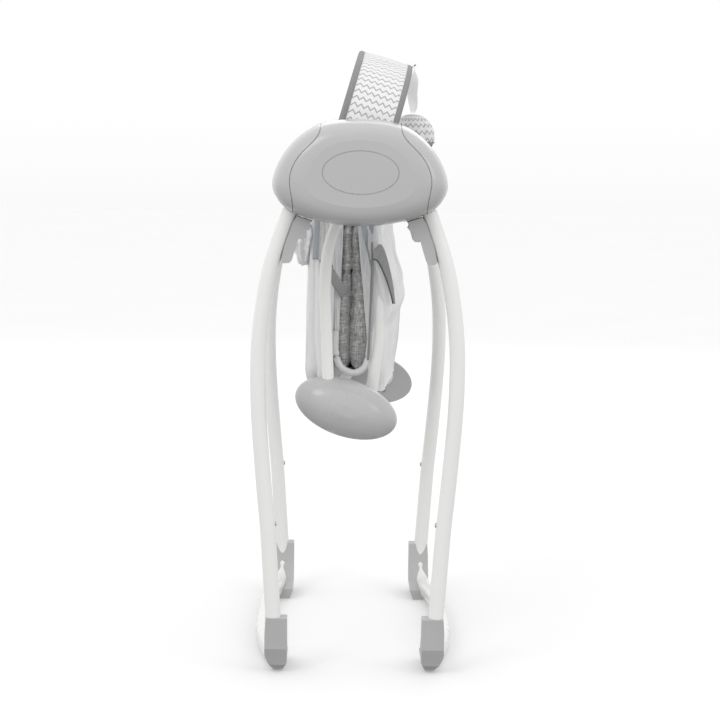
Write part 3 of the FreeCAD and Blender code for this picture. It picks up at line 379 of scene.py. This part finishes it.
def grid_piece(name, rows, material, loop=True, caps=True):
    """A mesh through rows of points, with flat coordinates measured along it in metres."""
    mesh = bpy.data.meshes.new(name)
    bm = bmesh.new()
    flat = bm.loops.layers.uv.new("flat")
    placed = [[bm.verts.new(p) for p in row] for row in rows]
    wide = len(rows[0])
    lengths = [0.0]
    for i in range(len(rows) - 1):
        lengths.append(lengths[-1] + (rows[i + 1][0] - rows[i][0]).length)
    around = [0.0]
    middle = rows[len(rows) // 2]
    for j in range(wide):
        around.append(around[-1] + (middle[(j + 1) % wide] - middle[j]).length)
    last = wide if loop else wide - 1
    for i in range(len(rows) - 1):
        for j in range(last):
            k = (j + 1) % wide
            face = bm.faces.new((placed[i][j], placed[i][k], placed[i + 1][k], placed[i + 1][j]))
            spots = ((around[j], lengths[i]), (around[j + 1], lengths[i]),
                     (around[j + 1], lengths[i + 1]), (around[j], lengths[i + 1]))
            for corner, spot in zip(face.loops, spots):
                corner[flat].uv = spot
    if caps and loop:
        for row, flip in ((placed[0], True), (placed[-1], False)):
            face = bm.faces.new(row[::-1] if flip else row)
            for corner in face.loops:
                corner[flat].uv = (corner.vert.co.y, corner.vert.co.x)
    bmesh.ops.recalc_face_normals(bm, faces=bm.faces)
    for face in bm.faces:
        face.smooth = True
    bm.to_mesh(mesh)
    bm.free()
    obj = bpy.data.objects.new(name, mesh)
    bpy.context.scene.collection.objects.link(obj)
    obj.data.materials.append(material)
    return obj


def apply_modifiers(obj):
    """Bake the object's modifiers into its mesh."""
    graph = bpy.context.evaluated_depsgraph_get()
    mesh = bpy.data.meshes.new_from_object(obj.evaluated_get(graph))
    obj.modifiers.clear()
    obj.data = mesh
    return obj


def subdivide(obj, levels=1):
    modifier = obj.modifiers.new("round", "SUBSURF")
    modifier.levels = levels
    modifier.render_levels = levels
    return apply_modifiers(obj)


def tube_along(name, points, radius, material, sides=12, closed=False):
    """A round cord of cloth or thread through points."""
    up = Vector((0, 0, 1))
    rows = []
    count = len(points)
    for i, point in enumerate(points):
        before = points[(i - 1) % count] if closed or i else point
        after = points[(i + 1) % count] if closed or i < count - 1 else point
        along = unit(after - before)
        side = unit(along.cross(up)) if abs(along.dot(up)) < 0.98 else unit(along.cross(Vector((0, 1, 0))))
        over = unit(side.cross(along))
        ring = []
        for j in range(sides):
            turn = 2 * math.pi * j / sides
            ring.append(point + side * (radius * math.cos(turn)) + over * (radius * math.sin(turn)))
        rows.append(ring)
    if closed:
        rows.append(list(rows[0]))
    obj = grid_piece(name, rows, material, caps=not closed)
    if closed:
        weld(obj)
    return obj


def weld(obj, distance=0.00002):
    bm = bmesh.new()
    bm.from_mesh(obj.data)
    bmesh.ops.remove_doubles(bm, verts=bm.verts, dist=distance)
    bm.to_mesh(obj.data)
    bm.free()


def spline(points, count):
    """Evenly spaced points on a smooth curve through the given ones."""
    fine = []
    ends = [points[0] * 2 - points[1]] + list(points) + [points[-1] * 2 - points[-2]]
    for i in range(1, len(ends) - 2):
        a, b, c, d = ends[i - 1], ends[i], ends[i + 1], ends[i + 2]
        for step in range(16):
            t = step / 16
            fine.append(0.5 * ((2 * b) + (c - a) * t + (2 * a - 5 * b + 4 * c - d) * t * t
                               + (3 * b - a - 3 * c + d) * t ** 3))
    fine.append(Vector(points[-1]))
    reach = [0.0]
    for i in range(len(fine) - 1):
        reach.append(reach[-1] + (fine[i + 1] - fine[i]).length)
    result = []
    at = 0
    for k in range(count):
        want = reach[-1] * k / (count - 1)
        while at < len(reach) - 2 and reach[at + 1] < want:
            at += 1
        gap = reach[at + 1] - reach[at]
        share = 0.0 if gap == 0 else (want - reach[at]) / gap
        result.append(fine[at].lerp(fine[at + 1], min(max(share, 0.0), 1.0)))
    return result


def joint(name):
    return next(j for j in frame["joints"] if j["name"] == name)


# ---------------------------------------------------------------- toy bar

BAR_PIVOT = Vector(joint("toy_bar_tilt")["pos_m"])
BAR_SPAN, BAR_RISE, BAR_LEAN = 0.176, 0.104, math.radians(16)
BAR_HALF, BAR_THICK = 0.0335, 0.009
BAR_FOOT = 0.013
BAR_SQUARE = 2.7


def bar_point(x, turn, out):
    """A point on the leaning arch: across its width, round from the top, and out from mid thickness."""
    middle = BAR_THICK / 2
    wide = abs(math.sin(turn)) ** (2 / BAR_SQUARE)
    high = abs(math.cos(turn)) ** (2 / BAR_SQUARE)
    away = Vector((0, math.copysign(wide ** (BAR_SQUARE - 1), turn) / BAR_SPAN,
                   high ** (BAR_SQUARE - 1) / BAR_RISE)).normalized()
    spot = Vector((x, (BAR_SPAN - middle) * math.copysign(wide, turn), (BAR_RISE - middle) * high))
    spot += away * out
    return BAR_PIVOT + Matrix.Rotation(BAR_LEAN, 3, "Y") @ spot


def bar_turns(count):
    """Angles from one foot of the arch to the other, at even lengths along it."""
    reach = math.acos((BAR_FOOT / BAR_RISE) ** (BAR_SQUARE / 2))
    fine = [(-reach + 2 * reach * i / 800) for i in range(801)]
    lengths = [0.0]
    for a, b in zip(fine, fine[1:]):
        lengths.append(lengths[-1] + (bar_point(0, b, 0) - bar_point(0, a, 0)).length)
    turns = []
    at = 0
    for k in range(count):
        want = lengths[-1] * k / (count - 1)
        while at < 799 and lengths[at + 1] < want:
            at += 1
        gap = lengths[at + 1] - lengths[at]
        turns.append(fine[at] + (fine[at + 1] - fine[at]) * (want - lengths[at]) / gap)
    return turns


def make_toy_bar():
    turns = bar_turns(150)
    inner_half = BAR_HALF - 0.0035
    top, under = [], []
    for turn in turns:
        ripple = 0.00035 * math.sin(turn * 37.0) + 0.0002 * math.sin(turn * 83.0 + 1.0)
        top_row, under_row = [], []
        for k in range(17):
            u = -1 + 2 * k / 16
            crown = 0.0014 * (1 - u ** 4) + ripple * (1 - u * u)
            top_row.append(bar_point(u * inner_half, turn, BAR_THICK / 2 - 0.0018 + crown))
            under_row.append(bar_point(u * inner_half, turn, -BAR_THICK / 2 + 0.0018 - crown * 0.6))
        top.append(top_row)
        under.append(under_row)
    cover = grid_piece("toy_bar_fabric", top, MATERIALS["chevron_fabric"], loop=False)
    # The arch's underside is coloured dark as painted shade, standing in for the shade under the band.
    lining = grid_piece("toy_bar_lining", under, EXTRA["dark_heather_and_painted_shade"], loop=False)
    for obj in (cover, lining):
        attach(obj, "toy_bar")
    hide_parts("toy_bar_cover")
    for name, end in ENDS.items():
        rows = []
        for turn in turns:
            row = []
            for k in range(16):
                around = 2 * math.pi * k / 16
                lift = (BAR_THICK / 2 - 0.0004) * math.sin(around)
                wide = 0.0042 * math.copysign(abs(math.cos(around)) ** 0.7, math.cos(around))
                row.append(bar_point(end * (BAR_HALF - 0.0036) + wide, turn, lift))
            rows.append(row)
        binding = grid_piece(f"toy_bar_{name}_binding", rows, EXTRA["grey_binding_with_painted_shade"])
        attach(binding, "toy_bar")
        make_stitches(f"toy_bar_{name}_stitches", turns, end)


def make_stitches(name, turns, end):
    """One row of short raised threads along the binding's edge."""
    bm = bmesh.new()
    for i in range(0, len(turns) - 1):
        a = bar_point(end * (BAR_HALF - 0.0066), turns[i], BAR_THICK / 2 - 0.0003)
        b = bar_point(end * (BAR_HALF - 0.0066), turns[i] * 0.3 + turns[i + 1] * 0.7, BAR_THICK / 2 - 0.0003)
        add_thread(bm, a, b, 0.00028)
    finish_threads(name, bm, "toy_bar")


def add_thread(bm, a, b, radius):
    """One stitch: a small six-sided capsule from a to b."""
    along = unit(b - a)
    side = unit(along.cross(Vector((0.3, 0.5, 0.8))))
    over = side.cross(along)
    rings = []
    for share, size in ((0.0, 0.3), (0.25, 1.0), (0.75, 1.0), (1.0, 0.3)):
        centre = a.lerp(b, share)
        ring = []
        for j in range(6):
            turn = 2 * math.pi * j / 6
            out = side * math.cos(turn) + over * math.sin(turn)
            ring.append(bm.verts.new(centre + out * radius * size))
        rings.append(ring)
    for first, second in zip(rings, rings[1:]):
        for j in range(6):
            bm.faces.new((first[j], first[(j + 1) % 6], second[(j + 1) % 6], second[j]))
    bm.faces.new(rings[0][::-1])
    bm.faces.new(rings[-1])


def finish_threads(name, bm, body):
    bmesh.ops.recalc_face_normals(bm, faces=bm.faces)
    mesh = bpy.data.meshes.new(name)
    for face in bm.faces:
        face.smooth = True
    bm.to_mesh(mesh)
    bm.free()
    obj = bpy.data.objects.new(name, mesh)
    bpy.context.scene.collection.objects.link(obj)
    obj.data.materials.append(MATERIALS["white_fabric"])
    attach(obj, body)
    return obj


# ---------------------------------------------------------------- the folded seat

SEAT_AXIS = Vector(joint("seat_front_unfold")["axis"])
SEAT_TURN = math.atan2(SEAT_AXIS.x, SEAT_AXIS.y)
SEAT_MIDDLE = (joint("seat_front_unfold")["pos_m"][0] + joint("seat_back_recline")["pos_m"][0]) / 2
MM = 0.001


def seat(x, y, z):
    """A place in the seat's own axes, in millimetres from midway between the hubs, in the frame's metres."""
    spot = Matrix.Rotation(-SEAT_TURN, 3, "Z") @ Vector((x * MM, y * MM, z * MM))
    return spot + Vector((SEAT_MIDDLE, 0, 0))


def between(table, at):
    """A smooth value from pairs of (place, value)."""
    if at <= table[0][0]:
        return table[0][1]
    for (a, first), (b, second) in zip(table, table[1:]):
        if at <= b:
            share = (at - a) / (b - a)
            share = share * share * (3 - 2 * share)
            return first + (second - first) * share
    return table[-1][1]


def ripple(a, b, seed):
    """Smooth seeded unevenness, from about -1 to 1."""
    return noise.noise(Vector((a, b, seed))) * 1.6


def rounded_loop(low_x, high_x, half_y, corner, count):
    """Evenly spaced (x, y, outward x, outward y) round a rounded rectangle."""
    corner = min(corner, (high_x - low_x) / 2 - 0.01)
    flat_x = high_x - low_x - 2 * corner
    flat_y = 2 * half_y - 2 * corner
    arc = math.pi * corner / 2
    runs = [("line", flat_y, (high_x, -half_y + corner), (0, 1), (1, 0)),
            ("arc", arc, (high_x - corner, half_y - corner), 0),
            ("line", flat_x, (high_x - corner, half_y), (-1, 0), (0, 1)),
            ("arc", arc, (low_x + corner, half_y - corner), 90),
            ("line", flat_y, (low_x, half_y - corner), (0, -1), (-1, 0)),
            ("arc", arc, (low_x + corner, -half_y + corner), 180),
            ("line", flat_x, (low_x + corner, -half_y), (1, 0), (0, -1)),
            ("arc", arc, (high_x - corner, -half_y + corner), 270)]
    whole = sum(run[1] for run in runs)
    loop = []
    for k in range(count):
        want = whole * k / count
        for run in runs:
            if want <= run[1]:
                break
            want -= run[1]
        if run[0] == "line":
            start, way, out = run[2:]
            loop.append((start[0] + way[0] * want, start[1] + way[1] * want, *out))
        else:
            turn = math.radians(run[3]) + want / corner
            out = (math.cos(turn), math.sin(turn))
            loop.append((run[2][0] + out[0] * corner, run[2][1] + out[1] * corner, *out))
    return loop


def draped_wrap(name, low_z, high_z, shape, folds, seed, material, around=260, levels=90):
    """Fabric pulled round a tube frame, with upright folds that wander as they fall.

    shape(z) gives low x, high x, half width and corner radius in millimetres."""
    rows = []
    for i in range(levels + 1):
        share = i / levels
        z = low_z + (high_z - low_z) * share
        low_x, high_x, half_y, corner = shape(z)
        row = []
        for k, (x, y, out_x, out_y) in enumerate(rounded_loop(low_x, high_x, half_y, corner, around)):
            turn = 2 * math.pi * k / around
            wide = ripple(math.cos(turn) * 9 + z * 0.004, math.sin(turn) * 9 + z * 0.003, seed)
            fine = ripple(math.cos(turn) * 30 + z * 0.011, math.sin(turn) * 30 - z * 0.009, seed + 5)
            crease = 1 - 2 * abs(ripple(math.cos(turn) * 14 + z * 0.006, math.sin(turn) * 14, seed + 9))
            push = folds * (0.9 * wide + 0.35 * fine + 0.5 * crease)
            push -= folds * 0.9
            row.append(seat(x + out_x * push, y + out_y * push, z + 0.6 * fine))
        rows.append(row)
    return grid_piece(name, rows, material, caps=False)


TOP_STEPS = ((0.72, 0.004), (0.5, 0.002), (0.18, 0.0006))


def close_top(obj):
    """Draw the open top loop together over the frame's top tube."""
    bm = bmesh.new()
    bm.from_mesh(obj.data)
    edges = [e for e in bm.edges if e.is_boundary]
    top = max(v.co.z for e in edges for v in e.verts)
    edge = [e for e in edges if min(v.co.z for v in e.verts) > top - 0.02]
    for squeeze, lift in TOP_STEPS:
        made = bmesh.ops.extrude_edge_only(bm, edges=edge)
        verts = [v for v in made["geom"] if isinstance(v, bmesh.types.BMVert)]
        edge = [e for e in made["geom"] if isinstance(e, bmesh.types.BMEdge)]
        for v in verts:
            local = Matrix.Rotation(SEAT_TURN, 3, "Z") @ (v.co - Vector((SEAT_MIDDLE, 0, 0)))
            centre_x = obj["middle_x"] * MM
            local.x = centre_x + (local.x - centre_x) * squeeze
            local.z += lift
            v.co = Matrix.Rotation(-SEAT_TURN, 3, "Z") @ local + Vector((SEAT_MIDDLE, 0, 0))
        edge = [e for e in edge if e.is_boundary]
    bmesh.ops.holes_fill(bm, edges=edge, sides=0)
    bmesh.ops.recalc_face_normals(bm, faces=bm.faces)
    for face in bm.faces:
        face.smooth = True
    bm.to_mesh(obj.data)
    bm.free()
    return obj


def back_sling_shape(z):
    low = between([(326, -50), (345, -52), (480, -51), (600, -50), (614, -46)], z)
    high = between([(326, -19), (420, -17.5), (600, -18), (614, -22)], z)
    half = between([(326, 134), (350, 143), (590, 143), (606, 141), (614, 136)], z)
    return low, high, half, between([(326, 9), (600, 13)], z)


def front_sling_shape(z):
    low = between([(320, 19), (345, 22), (372, 24), (420, 26.5), (530, 26)], z)
    high = between([(320, 41), (371, 45), (394, 46.5), (420, 53.5), (440, 50.5), (484, 40), (507, 36.5),
                    (528, 34)], z)
    half = between([(320, 113), (350, 121), (380, 125), (440, 125), (500, 119), (528, 112)], z)
    return low, high, half, between([(320, 6), (420, 9), (528, 3.4)], z)


def make_slings():
    """The white fabric sleeves over the two seat tubes, with hems along their open lower edges."""
    white = MATERIALS["white_fabric"]
    back = draped_wrap("seat_back_fabric", 326, 612, back_sling_shape, 2.6, 3.0, white)
    back["middle_x"] = -34.0
    front = draped_wrap("seat_front_fabric", 320, 524, front_sling_shape, 2.3, 11.0, white)
    front["middle_x"] = 31.0
    for obj, end, node in ((back, "back", "seat_back_sling"), (front, "front", "seat_front_sling")):
        lowest = hem_line(obj)
        close_top(obj)
        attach(obj, "seat_" + end)
        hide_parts(node)
        hem = tube_along(f"seat_{end}_hem", lowest, 0.0011, white, 8, closed=True)
        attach(hem, "seat_" + end)


def hem_line(obj):
    """The points along the piece's open lower edge, in order."""
    bm = bmesh.new()
    bm.from_mesh(obj.data)
    lowest = min(v.co.z for v in bm.verts)
    edges = [e for e in bm.edges if e.is_boundary and max(v.co.z for v in e.verts) < lowest + 0.02]
    here = edges[0].verts[0]
    came = edges[0]
    line = [here.co.copy()]
    for _ in range(len(edges) - 1):
        here = came.other_vert(here)
        line.append(here.co.copy())
        came = next(e for e in here.link_edges if e in edges and e != came)
    bm.free()
    return line


# ---------------------------------------------------------------- padded pieces

PUFF_FRAMES = 20


def puff(obj, pressure, cap, voxel=0.0):
    """Swell a closed piece as cloth under pressure; no point moves further than cap."""
    if voxel:
        remesh = obj.modifiers.new("even", "REMESH")
        remesh.mode = "VOXEL"
        remesh.voxel_size = voxel
        apply_modifiers(obj)
    before = [v.co.copy() for v in obj.data.vertices]
    cloth = obj.modifiers.new("cloth", "CLOTH")
    cloth.settings.use_pressure = True
    cloth.settings.uniform_pressure_force = pressure
    cloth.settings.effector_weights.gravity = 0.0
    cloth.settings.quality = 5
    cloth.point_cache.frame_end = PUFF_FRAMES
    for frame_number in range(1, PUFF_FRAMES + 1):
        bpy.context.scene.frame_set(frame_number)
    apply_modifiers(obj)
    for vert, start in zip(obj.data.vertices, before):
        moved = vert.co - start
        if moved.length > cap:
            vert.co = start + moved.normalized() * cap
    bpy.context.scene.frame_set(1)
    return obj


def shade_smooth(obj):
    for face in obj.data.polygons:
        face.use_smooth = True
    return obj


def padded_slab(name, line, thick, half_wide, material, around=72, rows=56):
    """A crowned slab along a bent line in the seat's XZ plane; thick(share) and half_wide(share) in mm."""
    spine = spline([Vector((x, 0, z)) for x, z in line], rows)
    made = []
    for i, point in enumerate(spine):
        along = (spine[min(i + 1, rows - 1)] - spine[max(i - 1, 0)]).normalized()
        out = Vector((along.z, 0, -along.x))
        share = i / (rows - 1)
        half, lift = half_wide(share), thick(share) / 2
        row = []
        for j in range(around):
            turn = 2 * math.pi * j / around
            side = math.copysign(abs(math.cos(turn)) ** 0.3, math.cos(turn)) * half
            up = math.copysign(abs(math.sin(turn)) ** 0.75, math.sin(turn)) * lift
            spot = point + out * up
            row.append(seat(spot.x, side, spot.z))
        made.append(row)
    return grid_piece(name, made, material)


def sew_channels(obj, levels, depth, spread):
    """Pull the cloth in along level seams, as quilting thread does."""
    for vert in obj.data.vertices:
        near = min(abs(vert.co.z - z * MM) for z in levels)
        pull = depth * math.exp(-(near / spread) ** 2)
        normal = vert.normal
        vert.co = vert.co - normal * pull


def crumple(obj, amount, scale, seed):
    """Small soft creases all over a piece."""
    moves = []
    for vert in obj.data.vertices:
        spot = vert.co * scale
        value = noise.noise(Vector((spot.x, spot.y, spot.z * 1.4 + seed)))
        value += 0.5 * noise.noise(Vector((spot.x * 2.3, spot.y * 2.3 + seed, spot.z * 3.1)))
        moves.append(vert.normal * (amount * value))
    for vert, move in zip(obj.data.vertices, moves):
        vert.co = vert.co + move


def rounded_end(share, start=0.06, end=0.0):
    """1 along most of a piece, rounding in at its start and, if asked, its end."""
    value = 1.0
    if start and share < start:
        value = math.sqrt(max(1 - (1 - share / start) ** 2, 0.02))
    if end and share > 1 - end:
        value = min(value, math.sqrt(max(1 - (1 - (1 - share) / end) ** 2, 0.02)))
    return value


def make_pads():
    """The quilted heather insert, folded face to face, meeting under itself in a U."""
    heather = MATERIALS["heather_fabric"]
    back_line = [(-5, 588), (-6, 520), (-8, 455), (-10, 405), (-10.5, 375), (-8.5, 356), (-4, 342)]
    front_line = [(4, 534), (5, 500), (7.5, 460), (10, 420), (10.5, 390), (10, 362), (7, 340)]
    back = padded_slab("seat_back_cushion", back_line,
                       lambda share: between([(0, 7), (0.4, 10), (0.75, 14), (1, 13)], share)
                       * rounded_end(share, 0.05, 0.08),
                       lambda share: 104 * rounded_end(share, 0.12), heather)
    front = padded_slab("seat_front_cushion", front_line,
                        lambda share: between([(0, 8), (0.2, 10), (0.45, 19), (0.7, 28), (1, 26)], share)
                        * rounded_end(share, 0.06, 0.16),
                        lambda share: 103 * rounded_end(share, 0.12), heather)
    for obj, node, seed in ((back, "seat_back_pad", 2.0), (front, "seat_front_pad", 8.0)):
        puff(obj, 4.0, 0.0026, 0.0045)
        subdivide(obj)
        crumple(obj, 0.0016, 62.0, seed)
        sew_channels(obj, (410, 462, 516) if obj is back else (405, 463), 0.0026, 0.0032)
        shade_smooth(obj)
        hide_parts(node)
    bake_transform(back)
    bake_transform(front)


def make_seat_trough():
    """The white fabric that runs under the folded insert from one side of the seat to the other."""
    line = [(-19.5, 392), (-19, 368), (-13, 348), (4, 339.5), (19, 346), (26.5, 364), (28, 392)]
    spine = spline([Vector((x, 0, z)) for x, z in line], 40)
    rows = []
    for i, point in enumerate(spine):
        along = (spine[min(i + 1, 39)] - spine[max(i - 1, 0)]).normalized()
        out = Vector((along.z, 0, -along.x))
        row = []
        for j in range(61):
            y = -114 + 228 * j / 60
            curl = max(abs(y) - 106, 0) / 8
            wave = 1.3 * ripple(y * 0.05, i * 0.08, 21.0)
            spot = point + out * (wave - 2.5 * curl * curl)
            row.append(seat(spot.x, y, spot.z))
        rows.append(row)
    trough = grid_piece("seat_base_fabric", rows, MATERIALS["white_fabric"], loop=False)
    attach(trough, "swing")
    for name, side in SIDES.items():
        edge = [row[0] if side < 0 else row[-1] for row in rows]
        rim = tube_along(f"seat_base_{name}_rim", edge, 0.0042, MATERIALS["white_fabric"], 16)
        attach(rim, "swing")


def flat_band(name, points, wide, thick, material, across):
    """A flat strap through points, its width along across and its edges rounded."""
    rows = []
    for i, point in enumerate(points):
        along = (points[min(i + 1, len(points) - 1)] - points[max(i - 1, 0)]).normalized()
        side = (across - along * across.dot(along)).normalized()
        over = side.cross(along)
        row = []
        for j in range(16):
            turn = 2 * math.pi * j / 16
            u = math.copysign(abs(math.cos(turn)) ** 0.35, math.cos(turn))
            row.append(point + side * (u * wide / 2) + over * (math.sin(turn) * thick / 2))
        rows.append(row)
    return grid_piece(name, rows, material)


def mixed(first, second, share):
    """Part of the way from one number to another."""
    return first * (1 - share) + second * share


def wavy_patch(name, corners, y, wave, seed, material, body):
    """A loose piece of cloth at the seat's side between four corners in its XZ plane."""
    (a, b), (c, d) = corners
    rows = []
    for i in range(41):
        share = i / 40
        row = []
        for j in range(25):
            across = j / 24
            x, z = (mixed(mixed(a[k], b[k], across), mixed(c[k], d[k], across), share) for k in (0, 1))
            fold = ripple(x * 0.16 + z * 0.02, z * 0.025, seed) + 0.4 * ripple(x * 0.4, z * 0.07, seed + 3)
            row.append(seat(x, y + math.copysign(wave, y) * fold, z))
        rows.append(row)
    patch = grid_piece(name, rows, material, loop=False)
    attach(patch, body)
    return patch


PIPING_RADIUS = 0.0013
STRAP_SLOPE = Vector((1, 0, 1.1))


def make_trim():
    """Piping, the pocket, straps and linings that show at the folded seat's sides."""
    across = seat(1, 0, 0) - seat(0, 0, 0)
    for name, side in SIDES.items():
        piping = [seat(x, side * y, z) for x, y, z in
                  ((26, 121, 500), (26.5, 123.5, 470), (25.5, 125, 420), (24.5, 125, 385), (23, 122, 358))]
        piping = tube_along(f"seat_front_{name}_piping", spline(piping, 60), PIPING_RADIUS,
                            EXTRA["grey_binding_with_painted_shade"], 10)
        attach(piping, "seat_front")
        strap = [seat(x, side * y, z) for x, y, z in
                 ((-28, 146.5, 479), (-23.5, 145, 468), (-17.5, 138, 457), (-12, 124, 446),
                  (-8, 110.5, 435))]
        strap = flat_band(f"waist_{name}_strap", spline(strap, 30), 0.0115, 0.0018, EXTRA["strap_webbing"],
                          STRAP_SLOPE)
        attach(strap, "seat_back")
        # The dark band at the strap's end is painted shadow, standing in for the buckle's shadow on the strap.
        tip = [seat(x, side * y, z) for x, y, z in
               ((-29, 147, 481), (-26.5, 146.6, 475), (-23.5, 145.4, 469))]
        tip = flat_band(f"waist_{name}_strap_end_painted_shadow", spline(tip, 8), 0.0122, 0.0026, EXTRA["dark_webbing_and_painted_shadow"],
                        STRAP_SLOPE)
        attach(tip, "seat_back")
        lining = [seat(x, side * y, z) for x, y, z in
                  ((-38, 146, 540), (-38, 146.4, 515), (-39, 146.2, 495), (-40, 145, 480))]
        lining = flat_band(f"seat_back_{name}_lining", spline(lining, 30), 0.0065, 0.0022,
                           EXTRA["blue_grey_fabric"], across)
        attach(lining, "seat_back")
        wavy_patch(f"seat_back_{name}_inner_lining", (((-20, 585), (-8, 585)), ((-19, 352), (-14.5, 352))),
                   side * 106, 1.5, 41.0, MATERIALS["white_fabric"], "seat_back")
        wavy_patch(f"seat_front_{name}_inner_lining", (((6, 540), (37, 540)), ((24, 468), (28, 468))),
                   side * 106, 2.6, 47.0, EXTRA["blue_grey_fabric"], "seat_front")
        wavy_patch(f"seat_front_{name}_side_lining", (((7, 520), (27, 520)), ((22.5, 356), (26, 356))),
                   side * 104, 2.0, 59.0, MATERIALS["white_fabric"], "seat_front")
        make_ruffle(name, side)
    make_pocket()


def make_pocket():
    """The mesh pocket's stretched edge on the child's right, wider in the middle than at its ends."""
    inner = [(28, 480), (34, 477), (42, 461), (48.5, 443), (52.5, 427)]
    outer = [(29, 492), (37, 498), (44, 484), (51.5, 455), (55.5, 427)]
    sides = [spline([Vector((x, 0, z)) for x, z in line], 50) for line in (inner, outer)]
    rows = []
    for i, (a, b) in enumerate(zip(*sides)):
        row = []
        for j in range(13):
            spot = a.lerp(b, j / 12)
            y = -126.2 + 0.5 * ripple(i * 0.2, j * 0.15, 53.0) + 1.4 * (j / 12) ** 2
            row.append(seat(spot.x, y, spot.z))
        rows.append(row)
    pocket = grid_piece("seat_front_right_pocket", rows, EXTRA["strap_webbing"], loop=False)
    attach(pocket, "seat_front")
    edge = tube_along("seat_front_right_pocket_edge", [row[0] for row in rows], 0.0009,
                      EXTRA["dark_webbing_and_painted_shadow"], 8)
    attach(edge, "seat_front")


def make_ruffle(name, side):
    """A gathered bunch of the back fabric, drawn up by elastic beside the frame."""
    rows = []
    for i in range(55):
        share = i / 54
        z = 530 - 58 * share
        swell = math.sin(math.pi * min(share + 0.06, 0.985)) ** 0.5
        row = []
        for j in range(72):
            turn = 2 * math.pi * j / 72
            gather = 1 + 0.20 * math.sin(9 * turn + 4 * share) + 0.22 * ripple(turn * 2, share * 6, 31.0)
            x = -54 - 15.0 * swell * math.cos(turn) * gather
            y = side * (127 + 17 * swell * math.sin(turn) * gather)
            row.append(seat(x, y, z + 4.0 * ripple(turn * 1.5, share * 5, 37.0)))
        rows.append(row)
    ruffle = grid_piece(f"seat_back_{name}_ruffle", rows, MATERIALS["white_fabric"])
    subdivide(ruffle)
    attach(ruffle, "seat_back")


# ---------------------------------------------------------------- toys

def make_toys():
    for name in SIDES:
        low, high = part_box(name + "_toy")
        centre = (low + high) / 2
        reach = (high - low) / 2 * 0.93
        make_toy(name, centre, reach)
        make_ribbon(name)


def make_toy(name, centre, reach):
    """A plush ball of six gores, printed above and plain grey below its waist seam."""
    rows = []
    levels, around = 30, 60
    for i in range(levels + 1):
        rise = math.pi * (0.02 + 0.96 * i / levels)
        row = []
        for j in range(around):
            turn = 2 * math.pi * j / around
            seam = 1 - 0.07 * (1 - abs(math.sin(3 * turn))) ** 4 * math.sin(rise)
            flat = 1 - 0.10 * max(-math.cos(rise), 0) ** 2
            spot = Vector((math.sin(rise) * math.cos(turn) * reach.x,
                           math.sin(rise) * math.sin(turn) * reach.y,
                           -math.cos(rise) * reach.z * -flat))
            row.append(centre + Vector((spot.x * seam, spot.y * seam, spot.z)))
        rows.append(row)
    toy = grid_piece(name + "_toy_plush", rows, MATERIALS["chevron_fabric"])
    toy.data.materials.append(EXTRA["dark_heather_and_painted_shade"])
    puff(toy, 3.0, 0.0022)
    subdivide(toy)
    for face in toy.data.polygons:
        if face.center.z < centre.z - 0.009:
            face.material_index = 1
    shade_smooth(toy)
    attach(toy, name + "_toy")
    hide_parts(name + "_toy")
    belt = []
    for k in range(72):
        turn = 2 * math.pi * k / 72
        aim = centre + Vector((math.cos(turn) * reach.x * 1.2, math.sin(turn) * reach.y * 1.2, -0.009))
        found = toy.closest_point_on_mesh(aim)
        belt.append(found[1] + found[2] * 0.0002)
    belt = tube_along(name + "_toy_waist_piping", belt, 0.0011, EXTRA["grey_binding_with_painted_shade"], 8, closed=True)
    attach(belt, name + "_toy")


def make_ribbon(name):
    """The toy's ribbon, folded over a thread at the bar's edge and sewn down."""
    hinge = Vector(joint(name + "_toy_swing")["pos_m"])
    top = hinge.z
    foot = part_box(name + "_toy")[1].z - 0.002
    half = 0.005
    points = [Vector((hinge.x + 0.0008 * math.sin(k * 0.9), hinge.y, foot + (top - foot) * k / 12))
              for k in range(13)]
    roll = [hinge + Vector((0.0016 * math.sin(t), 0, 0.0016 * (1 - math.cos(t)) - 0.0004))
            for t in (math.pi * k / 5 for k in range(1, 9))]
    rows = []
    for point in points + roll:
        climb = min(max((point.z - foot) / (hinge.z - 0.004 - foot), 0.0), 1.0)
        twist = 1.2 * math.sin(math.pi * climb) ** 0.7
        way = Vector((math.sin(twist), math.cos(twist), 0))
        rows.append([point + way * (half * (j / 5 - 1)) for j in range(11)])
    ribbon = grid_piece(name + "_toy_ribbon_tape", rows, MATERIALS["white_fabric"], loop=False)
    thread = tube_along(name + "_toy_thread", [hinge + Vector((0, half * 1.25 * s, 0.0012)) for s in
                                              (-1, -0.9, 0, 0.9, 1)], 0.0008, EXTRA["dark_webbing_and_painted_shadow"], 8)
    for obj in (ribbon, thread):
        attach(obj, name + "_toy")
    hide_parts(name + "_toy_ribbon")


bpy.context.scene.view_settings.view_transform = "Standard"
dress_cad_nodes()
make_camera()
make_room()
make_toy_bar()
make_toys()
make_slings()
make_pads()
make_seat_trough()
make_trim()
